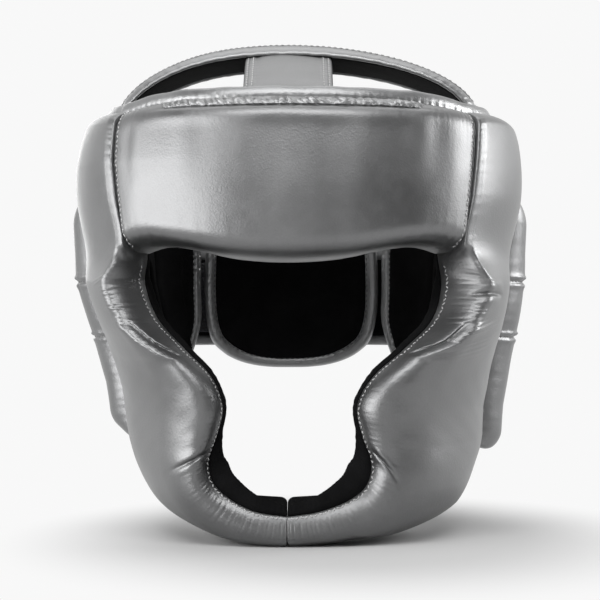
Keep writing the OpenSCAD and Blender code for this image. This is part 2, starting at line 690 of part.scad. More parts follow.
module rear_strap_hook_patch() {
    color(patch) sweep([for (i = [12:len(rear_xs) - 1])
        rear_ring(rear_xs[i], rear_strap_w / 2 - binding_w - 2, 0, patch_t)]);
}
module rear_strap_lining() {
    off = patch_t + layer_gap;
    color(black) sweep([for (x = rear_xs)
        rear_ring(x, rear_strap_w / 2 - binding_w, off, off + strap_lining_t)]);
}
module rear_strap() {
    off = patch_t + strap_lining_t + layer_gap * 2;
    color(silver) sweep([for (x = rear_xs) rear_ring(x, rear_strap_w / 2, off, off + strap_t)]);
}
// Folded strips along the rear strap's upper and lower edges, round to its inner face
module rear_strap_binding() {
    half = rear_strap_w / 2;
    off = patch_t + layer_gap;
    color(silver) for (way = [-1, 1])
        translate([0, 0, way * (half - binding_w / 2 + layer_gap / 2)])
            sweep([for (x = rear_xs)
                rear_ring(x, (binding_w - layer_gap) / 2, off, off + strap_lining_t)]);
}

forehead_cover();
forehead_foam();
forehead_lining();
left_side_cover();
left_side_foam();
left_side_lining();
right_side_cover();
right_side_foam();
right_side_lining();
left_ear_panel_cover();
left_ear_panel_foam();
left_ear_panel_lining();
right_ear_panel_cover();
right_ear_panel_foam();
right_ear_panel_lining();
left_ear_guard_cover();
left_ear_guard_foam();
right_ear_guard_cover();
right_ear_guard_foam();
top_binding();
crown_cover();
crown_foam();
crown_lining();
crown_front_binding();
crown_rear_binding();
top_strap();
back_pad_cover();
back_pad_foam();
back_pad_lining();
back_pad_binding();
back_strap();
back_strap_hook_patch();
back_pad_loop_patch();
left_wing_cover();
left_wing_foam();
left_wing_lining();
left_wing_binding();
right_wing_cover();
right_wing_foam();
right_wing_lining();
right_wing_binding();
right_wing_loop_patch();
rear_strap();
rear_strap_lining();
rear_strap_binding();
rear_strap_hook_patch();
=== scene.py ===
import math

import bmesh
import bpy
import numpy as np
from mathutils import Matrix, Vector


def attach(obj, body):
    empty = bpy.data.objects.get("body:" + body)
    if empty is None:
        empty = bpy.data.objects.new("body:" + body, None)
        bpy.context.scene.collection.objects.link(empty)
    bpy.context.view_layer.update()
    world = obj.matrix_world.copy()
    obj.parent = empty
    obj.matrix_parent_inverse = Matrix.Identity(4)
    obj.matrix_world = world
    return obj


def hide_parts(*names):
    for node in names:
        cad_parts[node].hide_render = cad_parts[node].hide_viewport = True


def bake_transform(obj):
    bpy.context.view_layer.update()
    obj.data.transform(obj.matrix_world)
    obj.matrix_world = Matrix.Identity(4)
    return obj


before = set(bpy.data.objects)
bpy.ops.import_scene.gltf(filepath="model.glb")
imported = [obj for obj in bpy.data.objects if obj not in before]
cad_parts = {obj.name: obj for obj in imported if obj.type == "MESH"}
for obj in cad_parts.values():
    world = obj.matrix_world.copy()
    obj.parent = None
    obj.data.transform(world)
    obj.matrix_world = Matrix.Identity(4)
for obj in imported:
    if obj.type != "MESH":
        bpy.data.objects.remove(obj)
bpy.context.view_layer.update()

bl_info = {
    "name": "Boxing headguard",
    "version": (1, 0, 0),
    "blender": (4, 5, 0),
    "location": "View3D > Sidebar > Headguard",
    "description": "Dresses a padded leather boxing headguard on its packed frame",
    "category": "Object",
}

# Lengths are in mm unless it says otherwise, and this brings them to the scene's metres
MM = 0.001
# Points of a piece that lie this close are one
WELD = 0.004
# Sign of x and name of the wearer's two sides. Pads are drawn on the left
SIDES = ((1, "left"), (-1, "right"))

# Lengths and widths that the folds and gathers of a pad are measured in
FOREHEAD_LENGTH, FOREHEAD_WIDTH = 230.0, 75.0
SIDE_LENGTH, SIDE_WIDTH = 300.0, 100.0
EAR_LENGTH, EAR_WIDTH = 150, 50
GUARD_WIDTH = 55.0
FOREHEAD_THICK = 26
BACK_THICK = 16
LINING_THICK = 2.3
# Part of an ear panel's length that its ear guard covers
GUARD_FROM, GUARD_TO = 0.14, 0.95
# The sewn tucks of an ear guard: place along it, and seed of the gathers beside it
EAR_TUCKS = ((0.385, 0.4), (0.57, 1.9))

HEAD_CENTRE = np.array([0, -10, 120.0])

# The seam between forehead pad and side pad, from its top to its foot, and its normals
SEAM = np.array([[80, -50, 213.5], [74, -71, 143.5]])
SEAM_NORMAL = np.array([[0.53, -0.83, 0.25], [0.45, -0.89, 0]])
SEAM_GAP = np.array([0.2, 0.2, 0])

# Stations of the pads: an edge and its normal, the other edge and its normal
FOREHEAD_ROWS = (
    ([66, -65, 214.5], [0.58, -0.77, 0.29], [61, -82, 146.5], [0.50, -0.86, 0]),
    ([48, -77, 215], [0.45, -0.83, 0.33], [44, -92.5, 144.5], [0.42, -0.90, 0]),
    ([26, -85.5, 215], [0.22, -0.90, 0.35], [24, -99, 140], [0.20, -0.98, 0]),
    ([0, -88, 215], [0, -0.93, 0.37], [0, -101, 138.5], [0, -1, 0]))
# Along the seam a side pad's first edge is given by its place on the seam
SIDE_SEAM_ROWS = (
    (0, [86, 22, 212], [1, 0.05, 0.25], 28, 5),
    (0.24, [88, 20, 196], [1, 0.05, 0.15], 31, 6),
    (0.61, [88, 16, 172], [1, 0.05, 0.08], 31, 7),
    (0.98, [84, 12, 148], [1, 0.03, 0], 28, 8))
SIDE_ROWS = (
    ([75.5, -80, 127], [0.75, -0.66, 0], [82, 9, 128], [1, 0, 0], 27, 8),
    ([70.5, -88, 110], [0.66, -0.75, 0], [80.5, 6, 112], [1, 0, -0.05], 26, 9),
    ([57, -98, 96], [0.50, -0.86, 0], [78, 4, 98], [1, 0, -0.08], 27, 10),
    ([41.5, -103, 82], [0.38, -0.92, -0.02], [76, 2, 84], [1, 0, -0.12], 27, 12),
    ([34, -105, 68], [0.33, -0.94, -0.05], [74, 0, 70], [1, 0, -0.20], 27, 12),
    ([36, -105, 54], [0.33, -0.94, -0.10], [72, -3, 57], [0.95, 0, -0.30], 26, 11),
    ([40, -106, 42], [0.33, -0.92, -0.20], [67, -12, 45], [0.90, -0.05, -0.43], 24, 9),
    ([38, -109, 32], [0.32, -0.85, -0.42], [62, -32, 34], [0.75, -0.10, -0.65], 21, 6),
    ([30, -112, 24], [0.25, -0.70, -0.66], [50, -54, 26], [0.50, -0.15, -0.85], 18, 4),
    ([16, -115, 17], [0.12, -0.55, -0.83], [30, -75, 20], [0.25, -0.15, -0.95], 16.5, 2.5),
    ([0.1, -116, 14.5], [0, -0.45, -0.89], [0.1, -84, 18], [0, -0.10, -1], 15.5, 2))
EAR_REAR = ([84, 58, 180], [84, 58, 172], [84, 58, 160], [83, 58, 144], [82, 58, 126],
            [81, 58, 110], [79, 56, 95], [76, 50, 82], [72.5, 42, 69], [68, 33, 57], [64, 20, 46])
WING_HINGE = ([84, 58.5, 170], [83, 58.5, 148], [82, 58.5, 126], [80.5, 58.5, 106], [79, 58.5, 94])
WING_END = ([56, 84, 166], [55, 85, 147], [55, 85, 127], [55, 85, 107], [60, 81, 88])
# Back pad: half width, y, z and lean of each station down to the round foot
BACK_HALF = 51
BACK_ROWS = ((26, 68, 226, 0.80), (34, 80, 213, 0.60), (43, 91, 192, 0.30),
             (49, 97, 168, 0.10), (BACK_HALF, 98, 142, 0))
BACK_FOOT_Z, BACK_FOOT_DROP, BACK_FOOT_POWER = 116, 36, 2 / 2.6


def unit(v):
    """Rows of v at length one."""
    return v / np.linalg.norm(v, axis=1, keepdims=True)


def distances(points):
    """How far each point of a row lies from the first, along the row."""
    return np.r_[0, np.cumsum(np.linalg.norm(np.diff(points, axis=0), axis=1))]


def through(stations, t):
    """Smooth values at places t, from 0 to 1, through equally spaced stations."""
    last = len(stations) - 1
    x = np.clip(t, 0, 1) * last
    i = np.minimum(np.floor(x).astype(int), last - 1)
    f = (x - i).reshape((-1,) + (1,) * (stations.ndim - 1))
    p0 = stations[np.maximum(i - 1, 0)]
    p1 = stations[i]
    p2 = stations[i + 1]
    p3 = stations[np.minimum(i + 2, last)]
    return (p1 * 2 + (p2 - p0) * f + (p0 * 2 - p1 * 5 + p2 * 4 - p3) * f * f
            + (p1 * 3 - p0 - p2 * 3 + p3) * f * f * f) * 0.5


def pad_at(pad, s, u, t):
    """Points of a pad at places s along it and u across it, t above its lining face."""
    q = through(pad, s)
    u = np.asarray(u, float).reshape(-1, 1)
    t = np.asarray(t, float).reshape(-1, 1)
    n = unit(q[:, 1] * (1 - u) + q[:, 3] * u)
    return q[:, 0] * (1 - u) + q[:, 2] * u + n * (q[:, 4, 1:2] * 4 * u * (1 - u) + t)


def pad_point(pad, s, u, t):
    return pad_at(pad, np.array([s]), u, t)[0]


def pad_thick(pad, s):
    return through(pad, s)[:, 4, 0]


def roll(d, r):
    """Rounding of an edge: height share at distance d from it, over reach r."""
    return np.sqrt(np.clip(1 - (1 - np.clip(d / r, 0, 1)) ** 2, 0, 1))


def soft_roll(d, r, power=3.0):
    """Rounding of an edge with no line where it meets the flat."""
    return np.clip(1 - (1 - np.clip(d / r, 0, 1)) ** power, 0, 1) ** (1 / power)


def swell(low, d, r):
    """Height share that swells from low at d 0 to full at d r."""
    return mix(low, 1.0, np.sin(np.pi / 2 * np.clip(d / r, 0, 1)))


def mix(a, b, f):
    return a + (b - a) * f


def smooth(a, b, x):
    """0 below a, 1 above b and an even rise between them."""
    f = np.clip((x - a) / (b - a), 0, 1)
    return f * f * (3 - 2 * f)


def bump(x, centre, width):
    return np.exp(-((x - centre) / width) ** 2)


def inside(a, b):
    """1 within a grid and 0 on its border, where two sheets meet."""
    return ((a > 0) & (a < 1) & (b > 0) & (b < 1)) * 1.0


def ripple(x, pitch, seed=0.0):
    """Uneven gathers along a seam, from -1 to 1."""
    a = np.sin(2 * np.pi * x / pitch + 1.7 * np.sin(x / (pitch * 2.3) + seed) + seed)
    b = np.sin(2 * np.pi * x / (pitch * 1.73) + 1.1 * np.sin(x / (pitch * 3.1) - seed) + 2 * seed)
    c = np.sin(2 * np.pi * x / (pitch * 0.61) + seed * 3)
    return 0.5 * a + 0.35 * b + 0.15 * c


def creases(x, pitch, seed=0.0):
    """Round folds with sharp valleys between them, from -0.75 to 1.25."""
    return 2 * np.abs(ripple(x, 2 * pitch, seed)) ** 0.75 - 0.75


def lump(x, y, size, seed=0.0):
    """Slow unevenness of stuffed leather, from -1 to 1."""
    return (np.sin(x / size + seed) * np.sin(y / (size * 1.3) - seed * 1.7)
            + 0.6 * np.sin((x + y) / (size * 0.62) + 2.1 * seed)
            + 0.4 * np.sin((x - 1.4 * y) / (size * 0.45) - seed)) / 2


def station(e0, n0, e1, n1, thick, bow):
    """One station of a pad: two edges with their normals, its thickness and its bow."""
    return np.array([e0, n0, e1, n1, (thick, bow, 0)], float)


def forehead_pad():
    top, foot = SEAM - SEAM_GAP
    rows = [station(*row, FOREHEAD_THICK, 2)
            for row in ((top, SEAM_NORMAL[0], foot, SEAM_NORMAL[1]), *FOREHEAD_ROWS)]
    flip = np.array([[-1, 1, 1]] * 4 + [[1, 1, 1]])
    return np.array(rows + [row * flip for row in rows[3::-1]])


def side_pad():
    rows = [station(mix(*SEAM, f) + SEAM_GAP, mix(*SEAM_NORMAL, f), *rest)
            for f, *rest in SIDE_SEAM_ROWS]
    return np.array(rows + [station(*row) for row in SIDE_ROWS])


def ear_panel():
    """The ear panel starts at the side pad's rear edge, and turns inward at its foot."""
    return np.array([station(side[2] + [0, 0.4, 0], side[3], rear,
                             [0.93, 0.37, -0.1 * max(0, i - 6)], 18, 4)
                     for i, (side, rear) in enumerate(zip(side_pad(), EAR_REAR))])


def ear_guard():
    """The ear guard lies on the ear panel, and thins towards its foot and its top."""
    rows = []
    for i, q in enumerate(ear_panel()):
        lift = unit(q[[1, 3]]) * 18.5
        thick = 23.5 - 4 * min(1, max(0, (i - 4) / 4)) - 3 * min(1, max(0, (3 - i) / 2))
        rows.append(station(q[0] + lift[0], q[1], q[2] + lift[1], q[3], thick, 4))
    return np.array(rows)


def wing():
    return np.array([station(hinge, [0.93, 0.37, 0], end, [0.62, 0.78, 0], 15, 4)
                     for hinge, end in zip(WING_HINGE, WING_END)])


def back_pad(inset=0.0):
    """The back pad, narrower by inset on each side."""
    rows = [(half - inset, y, z, lean) for half, y, z, lean in BACK_ROWS]
    for a in (0, 24, 42, 57, 70, 80, 86):
        c, d = math.cos(math.radians(a)), math.sin(math.radians(a))
        rows.append(((BACK_HALF - inset) * c ** BACK_FOOT_POWER, 98,
                     BACK_FOOT_Z - (BACK_FOOT_DROP - inset) * d ** BACK_FOOT_POWER, 0))
    out = []
    for half, y, z, lean in rows:
        bow = 11 * (half / BACK_HALF) ** 2
        tilt = 0.36 * half / BACK_HALF
        out.append(station([half, y - bow, z], [tilt, 0.93, lean],
                           [-half, y - bow, z], [-tilt, 0.93, lean], BACK_THICK, bow))
    return np.array(out)


def lean_in(p):
    """The sewn shell is not quite even: its middle stands a little to the wearer's right,
    its jaw bulges to the left, and the right ear guard sits higher than the left one."""
    p = np.array(p, float)
    x, y, z = p.T
    far = smooth(28, 84, np.abs(x))
    right = np.interp(z, [0, 10, 29, 48, 70, 101, 130, 190, 213, 232, 250],
                      [4.5, 5, 5.5, 7, 8, 6, 1, 0, 2.5, 4.5, 5])
    left = np.interp(z, [0, 10, 20, 29, 48, 66, 90], [6, 7.5, 9, 7.5, 3, 0.5, 0])
    shift = far * np.where(x < 0, right, left) * (y < 75)
    shift -= 6 * np.clip(1 - (np.abs(x) / 125) ** 2, 0, 1)
    shift += 2.4 * bump(x, -44, 22) * bump(z, 80, 26) * (y < 60)
    lift = smooth(88, 106, np.abs(x)) * (1 - smooth(50, 105, z)) * np.where(x < 0, 6.0, -5.5)
    sag = -5.0 * smooth(14, 50, x) * (1 - smooth(12, 60, z)) * (1 - smooth(-60, -20, y))
    return np.stack([x + shift, y, z + (lift + sag) * np.clip(z / 8.0, 0, 1)], -1)


def ends_close(a, k=0.75):
    """Grid places moved towards both ends, where the rounding is."""
    return a - k * np.sin(2 * np.pi * a) / (2 * np.pi)


def grid_at(share, k=0.75):
    """Grid places that ends_close moves to the given shares of the way."""
    grid = np.linspace(0, 1, 4001)
    return np.interp(share, ends_close(grid, k), grid)


def circle(b):
    """Cosine and sine at b of the way round."""
    return np.cos(2 * np.pi * b), np.sin(2 * np.pi * b)


def nearest(a, n):
    """The nearest of n even steps to each place a."""
    return np.clip(np.round(a * n).astype(int), 0, n)


def path_frames(points):
    """Tangents along a row of points."""
    return unit(np.gradient(points, axis=0))


def resample(points, n):
    """n evenly spaced points on a smooth line through the given ones."""
    points = np.asarray(points, float)
    dense = through(points, np.linspace(0, 1, 40 * len(points)))
    step = distances(dense)
    at = np.linspace(0, step[-1], n)
    return np.stack([np.interp(at, step, dense[:, k]) for k in range(3)], 1)


def mirrored(place, way):
    """place on the wearer's left for way 1, and its mirror image for way -1."""
    return lambda a, b: place(a, b) * [way, 1, 1]


def new_object(name, bm):
    """The mesh in bm as an object of the scene."""
    mesh = bpy.data.meshes.new(name)
    bm.to_mesh(mesh)
    bm.free()
    obj = bpy.data.objects.new(name, mesh)
    bpy.context.scene.collection.objects.link(obj)
    return obj


def grid_object(name, nx, ny, place, back=None):
    """A sheet from a grid, its points moved by place(a, b). A second sheet from back(a, b)
    closes it: the two meet along the border. Without one it is a tube with filled ends."""
    bm = bmesh.new()
    bmesh.ops.create_grid(bm, x_segments=nx, y_segments=ny, size=0.5)
    front_n = len(bm.verts)
    if back is not None:
        bmesh.ops.create_grid(bm, x_segments=nx, y_segments=ny, size=0.5)
    bm.verts.ensure_lookup_table()
    ab = np.array([(v.co.x + 0.5, v.co.y + 0.5) for v in bm.verts])
    pos = place(*ab[:front_n].T)
    if back is not None:
        pos = np.concatenate([pos, back(*ab[front_n:].T)])
    for v, p in zip(bm.verts, lean_in(pos) * MM):
        v.co = p
    for f in bm.faces:
        if all(v.index >= front_n for v in f.verts):
            f.normal_flip()
    bmesh.ops.remove_doubles(bm, verts=bm.verts, dist=WELD * MM)
    if back is None:
        bmesh.ops.holes_fill(bm, edges=[e for e in bm.edges if e.is_boundary])
    bmesh.ops.recalc_face_normals(bm, faces=bm.faces)
    return new_object(name, bm)


def patch(name, nx, ny, surface, high, low):
    """A thin piece on surface(a, b, lift), between lifts low and high."""
    def sheet(lift):
        return lambda a, b: surface(a, b, lift * inside(a, b))
    return grid_object(name, nx, ny, sheet(high), sheet(low))


def settle(obj, body, nodes=(), finish="leather"):
    """Puts the finished piece on its body, in place of the CAD nodes it stands for. A body given
    as a tuple puts it on no body, with its place baked into its mesh.
    """
    obj.data.materials.clear()
    obj.data.materials.append(finish_of(finish))
    for poly in obj.data.polygons:
        poly.use_smooth = True
    if isinstance(body, tuple):
        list(body)
        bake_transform(obj)
    else:
        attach(obj, body)
    if nodes:
        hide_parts(*nodes)


def settle_pad(cover, soft, body, node):
    """A pad's cover, which holds its foam, and its lining."""
    settle(cover, body, [node + "_cover", node + "_foam"])
    settle(soft, body, [node + "_lining"], "lining")


def sew_row(name, points, normals, body, finish="thread", slant=0.0, pitch=None):
    """A row of short threads along a line, each sunk in the leather. slant turns every other
    one to and fro, in degrees."""
    rise, flat = 0.25, 0.9
    sew = bpy.context.scene.headguard_sewing
    length, radius = sew.stitch_length / MM, sew.thread_radius / MM
    step = distances(points)
    count = max(2, int(step[-1] / (pitch or sew.stitch_pitch / MM)))

    def at(place, rows):
        return [np.interp(place, step, rows[:, j]) for j in range(3)]

    bm = bmesh.new()
    for k in range(count):
        middle = (k + 0.5) * step[-1] / count
        ends = [at(middle + d, points) for d in (-length / 2, length / 2)]
        p, q = lean_in(np.array(ends)) * MM
        n = Vector(at(middle, normals)).normalized()
        x = Vector(q - p).normalized()
        z = (n - x * n.dot(x)).normalized()
        turn = Matrix((x, z.cross(x), z)).transposed().to_4x4()
        if slant:
            turn = turn @ Matrix.Rotation(math.radians(slant * (1 if k % 2 else -1)), 4, "Z")
        centre = Vector((p + q) / 2) + z * radius * MM * rise
        scale = Matrix.Diagonal((length * MM / 2, radius * MM, radius * MM * flat, 1))
        bmesh.ops.create_uvsphere(bm, u_segments=6, v_segments=5, radius=1,
                                  matrix=Matrix.Translation(centre) @ turn @ scale)
    bmesh.ops.recalc_face_normals(bm, faces=bm.faces)
    settle(new_object(name, bm), body, finish=finish)


def surface_line(place, a, b):
    """Points and outward normals on a surface along a line of places (a, b)."""
    a, b = np.broadcast_arrays(np.asarray(a, float), np.asarray(b, float))
    step = 1e-3
    p = place(a, b)
    da = place(np.clip(a + step, 0, 1), b) - place(np.clip(a - step, 0, 1), b)
    db = place(a, np.clip(b + step, 0, 1)) - place(a, np.clip(b - step, 0, 1))
    n = unit(np.cross(da, db))
    return p, n * np.sign(np.sum(n * (p - HEAD_CENTRE), axis=1, keepdims=True))


def thread_row(name, place, a, b, body, **sewing):
    """A stitch row on a surface, along places (a, b) in its grid."""
    sew_row(name, *surface_line(place, a, b), body, **sewing)


def join(name, objs):
    """Several like pieces as one object."""
    bm = bmesh.new()
    for o in objs:
        bm.from_mesh(o.data)
        bpy.data.meshes.remove(o.data)
    return new_object(name, bm)


def node_maker(tree):
    """A function that adds a node to the emptied tree. It takes the node's inputs in order or
    by name, with an underscore for a space, and its settings. An input that is given as an
    earlier node and its output is linked."""
    tree.nodes.clear()

    def node(kind, *inputs, **sets):
        made = tree.nodes.new("ShaderNode" + kind)
        for key, value in [*enumerate(inputs), *sets.items()]:
            socket = key if isinstance(key, int) else key.replace("_", " ")
            if isinstance(value, tuple) and isinstance(value[0], bpy.types.Node):
                tree.links.new(value[0].outputs[value[1]], made.inputs[socket])
            elif socket in made.inputs:
                made.inputs[socket].default_value = value
            else:
                setattr(made, key, value)
        return made

    return node


def scaled(colour, share):
    return [min(1, c * share) for c in colour]


class Surface:
    """A material of textures in object coordinates, which colour and emboss one shader."""

    def __init__(self, name):
        self.material = bpy.data.materials.new(name)
        self.material.use_nodes = True
        self.node = node_maker(self.material.node_tree)
        self.where = self.node("TexCoord")

    def texture(self, kind, **sets):
        return self.node("Tex" + kind, Vector=(self.where, "Object"), **sets)

    def tone(self, source, low, high, places=(0, 1)):
        """Colours from low to high by a texture."""
        ramp = self.node("ValToRGB", Fac=source)
        for end, place, colour in zip(ramp.color_ramp.elements, places, (low, high)):
            end.position = place
            end.color = (*colour, 1)
        return ramp, "Color"

    def relief(self, source, strength, distance, **sets):
        return self.node("Bump", Height=source, Strength=strength, Distance=distance,
                         **sets), "Normal"

    def shade(self, **sets):
        self.node("OutputMaterial", Surface=(self.node("BsdfPrincipled", **sets), "BSDF"))
        return self.material


def silver_leather(name, colour, grain=1.0, rough=0.41, metal=0.95):
    """Metallic synthetic leather: fine pebble grain, faint flow marks and scuffed sheen."""
    look = Surface(name)
    pebble = look.texture("Voronoi", feature="SMOOTH_F1", Scale=1050.0, Smoothness=0.6)
    flow = look.texture("Noise", Scale=420.0, Detail=5.0, Roughness=0.6)
    blotch = look.texture("Noise", Scale=26.0, Detail=6.0, Roughness=0.62)
    flakes = look.texture("Noise", Scale=2600.0, Detail=2.0)
    tone = look.tone((blotch, "Fac"), scaled(colour, 0.86), scaled(colour, 1.08), (0.30, 0.72))
    fleck = look.node("MixRGB", blend_type="OVERLAY", Fac=0.16, Color1=tone,
                      Color2=(flakes, "Fac"))
    gloss = look.node("MapRange", Value=(blotch, "Fac"), From_Min=0.3, From_Max=0.7,
                      To_Min=rough - 0.07, To_Max=rough + 0.09)
    coarse = look.relief((flow, "Fac"), 0.10 * grain, 0.0006)
    fine = look.relief((pebble, "Distance"), 0.16 * grain, 0.0003, Normal=coarse)
    return look.shade(Base_Color=(fleck, "Color"), Metallic=metal, Roughness=(gloss, "Result"),
                      Normal=fine, Coat_Weight=0.12, Coat_Roughness=0.28)


def black_cloth(name, colour):
    """Matte suede-like lining: soft nap with brushed streaks."""
    look = Surface(name)
    nap = look.texture("Noise", Scale=1500.0, Detail=4.0, Roughness=0.7)
    brush = look.texture("Noise", Scale=55.0, Detail=5.0, Roughness=0.6)
    tone = look.tone((brush, "Fac"), scaled(colour, 0.6), scaled(colour, 1.5), (0.32, 0.75))
    return look.shade(Base_Color=tone, Roughness=0.92, Specular_IOR_Level=0.08,
                      Normal=look.relief((nap, "Fac"), 0.5, 0.0004))


def thread_yarn(name, colour):
    """Sewing thread with its twist."""
    look = Surface(name)
    twist = look.texture("Noise", Scale=2400.0, Detail=3.0), "Fac"
    # The twist that raises and sinks the thread also colours it, darker in its grooves and lighter
    # on its ridges: painted shade and painted highlight
    return look.shade(Base_Color=look.tone(twist, scaled(colour, 0.6), scaled(colour, 1.2)),
                      Roughness=0.55, Sheen_Weight=0.2, Normal=look.relief(twist, 0.4, 0.0002))


def hook_tape(name, colour, scale):
    """Hook or loop tape: a field of small tufts."""
    look = Surface(name)
    tufts = look.texture("Voronoi", Scale=scale), "Distance"
    # Each tuft is lighter at its raised middle and darker where it sinks towards the next: painted
    # highlight on the tufts and painted shade between them
    tone = look.tone(tufts, scaled(colour, 2.0), scaled(colour, 0.5), (0, 0.6))
    return look.shade(Base_Color=tone, Roughness=0.8,
                      Normal=look.relief(tufts, 0.9, 0.0006, invert=True))


# Each finish: its slot, its material's maker and name, its colour, which is a look setting or
# its own, the share of that colour, and what else the maker takes
FINISHES = {
    "leather": ("silver_leather", silver_leather, "Silver leather", "leather_colour", 1.0, {}),
    # Binding leather: the silver leather at 1.35 times its colour, a lit copy that paints light on
    # the top binding, the fold under it and the crown band's rolled edges
    "binding": ("silver_leather", silver_leather, "Silver binding leather", "leather_colour",
                1.35, {"grain": 1.3, "rough": 0.40}),
    # Edge tape: the silver leather at 1.7 times its colour, a lit copy that paints light on the
    # bindings of the back pad, the wings and the rear strap, which sit in shade
    "lit_piping": ("silver_leather", silver_leather, "Silver edge tape", "leather_colour",
               1.7, {"grain": 1.3, "rough": 0.38, "metal": 0.75}),
    "thread": ("silver_leather", thread_yarn, "Grey thread", "thread_colour", 1.0, {}),
    # Thread at 0.28 times its colour: painted shade on stitches sunk in the ear guards' tucks and
    # in the edge tapes' sewn grooves
    "shaded_thread": ("silver_leather", thread_yarn, "Shaded thread", "thread_colour", 0.28, {}),
    "lining": ("black_lining", black_cloth, "Black lining", "lining_colour", 1.0, {}),
    "loop": ("loop_tape", hook_tape, "Loop pile", (0.035, 0.035, 0.04), 1.0, {"scale": 900.0}),
    "hook": ("hook_tape", hook_tape, "Hook field", (0.03, 0.03, 0.035), 1.0, {"scale": 620.0}),
}
MATERIALS = {}


def finish_of(finish):
    """The material of a finish, made once."""
    if finish not in MATERIALS:
        make, name, colour, share, sets = FINISHES[finish][1:]
        if isinstance(colour, str):
            colour = getattr(bpy.context.scene.headguard_look, colour)
        MATERIALS[finish] = make(name, [c * share for c in colour], **sets)
    return MATERIALS[finish]


# Cloth settings of leather that lies loose over a pad
LOOSE_LEATHER = {
    "quality": 8, "mass": 0.4, "vertex_group_mass": "Sewn", "pin_stiffness": 5,
    "tension_stiffness": 40, "compression_stiffness": 40, "shear_stiffness": 20,
    "bending_stiffness": 0.3, "air_damping": 4, "use_pressure": True, "uniform_pressure_force": 4}
LOOSE_FRAMES = 20


def loosen(obj, held, spare, reach):
    """Lets part of a finished piece settle as loose leather. held are the sewn points, spare
    the extra length in it, and reach the furthest that a point may move, in metres."""
    scene = bpy.context.scene
    start = np.array([v.co for v in obj.data.vertices])
    group = obj.vertex_groups.new(name="Sewn")
    group.add(held, 1.0, "REPLACE")
    cloth = obj.modifiers.new("Loose leather", "CLOTH")
    for key, value in LOOSE_LEATHER.items():
        setattr(cloth.settings, key, value)
    cloth.settings.shrink_min = -spare
    cloth.settings.effector_weights.gravity = 0
    for times in (cloth.point_cache, scene):
        times.frame_start = 1
        times.frame_end = LOOSE_FRAMES
    for now in range(1, LOOSE_FRAMES + 1):
        scene.frame_set(now)
    shaped = obj.evaluated_get(bpy.context.evaluated_depsgraph_get()).data
    moved = np.array([v.co for v in shaped.vertices])
    obj.modifiers.remove(cloth)
    obj.vertex_groups.remove(group)
    scene.frame_set(1)
    way = np.nan_to_num(moved - start)
    size = np.linalg.norm(way, axis=1, keepdims=True)
    way *= reach * np.tanh(size / reach) / np.maximum(size, 1e-9)
    for vertex, at in zip(obj.data.vertices, start + way):
        vertex.co = at


# Grid shares and places of a side pad: its grid is finer beside the eye
SIDE_GRID = ([0, 0.15, 0.54, 1], [0, 0.22, 0.46, 1])
EVEN_GRID = ((0, 1), (0, 1))
# The sewn crease between each eye and cheek: places along the side pad, and how far it
# runs from the opening there
CREASE = {1: ([0.355, 0.371, 0.395, 0.411, 0.420, 0.427, 0.436, 0.449],
              [0.071, 0.076, 0.082, 0.082, 0.061, 0.040, 0.024, 0.008]),
          -1: ([0.350, 0.362, 0.375, 0.398, 0.413, 0.433, 0.445, 0.456],
               [0.078, 0.078, 0.076, 0.078, 0.071, 0.043, 0.028, 0.006])}
# Wrinkles beside each eye: their middle along the pad, reach and height
EYE_WRINKLES = {1: (0.335, 15, 0.26), -1: (0.33, 22, 0.34)}
# Tuck at each corner of the mouth: where it fades out, where it starts and how it slants
MOUTH_TUCK = {1: ((4, 12), 203.0, 1.6), -1: ((10, 30), 206.5, 0.2)}
# How far each side pad's edge leans in beside the eye
EYE_LEAN = {1: 3.5, -1: 5.0}
# How far the side linings stand out round the face opening
RIM = ([0.24, 0.29, 0.45, 0.62, 0.66, 0.70, 0.76, 0.82, 0.88, 0.95, 1.0],
       [0, 2.6, 2.8, 3.0, 5.0, 9.5, 11.5, 10.7, 8.0, 4.0, 2.0])


def side_height(s, u):
    """Height share of a side pad. Its edge stands nearly full along the seam with the
    forehead pad, and rolls over to the lining round the face opening."""
    reach = np.interp(s, [0.2, 0.3, 0.38, 0.46, 0.52, 0.62, 0.8, 1],
                      [0.08, 0.13, 0.18, 0.27, 0.32, 0.36, 0.34, 0.32])
    edge = 0.885 * (1 - smooth(0.205, 0.235, s))
    up = mix(edge, 1.0, roll(u, reach)) * roll(u * SIDE_WIDTH, 0.6) * roll(1 - u, 0.2)
    top = swell(0.5, s, 0.05) * roll(s * SIDE_LENGTH, 2.5)
    chin = swell(0.97, 1 - s, 0.02) * roll((1 - s) * SIDE_LENGTH, 0.7)
    return up * top * chin


def cheek_crease(way, s, u):
    """The crease below the eye: the wall rolls down to it, and the cheek puffs beyond it."""
    places, line = CREASE[way]
    first, last = places[0], places[-1]
    on = smooth(first, first + 0.03, s) * (1 - smooth(last - 0.015, last + 0.01, s))
    off = (u - np.interp(s, places, line)) * SIDE_WIDTH
    puff = smooth(0.5, 7, off) * np.exp(-np.clip(off - 7, 0, 60) / 20)
    return on * (bump(off, -3.6, 2.6) + 2.2 * puff - 1.7 * bump(off, 0, 1.3))


def opening_gathers(way, s, arc, across):
    """Gathers where the leather turns over the edge of the face opening."""
    near = np.exp(-across / 5.0) * smooth(0.0, 1.6, across)
    low = 1 - 0.5 * smooth(0.42, 0.5, s) * (1 - smooth(0.66, 0.76, s))
    return near * (0.6 * low * creases(arc, 3.4, 0.7 * way) + 0.2 * ripple(arc, 2.3, 1.9 * way))


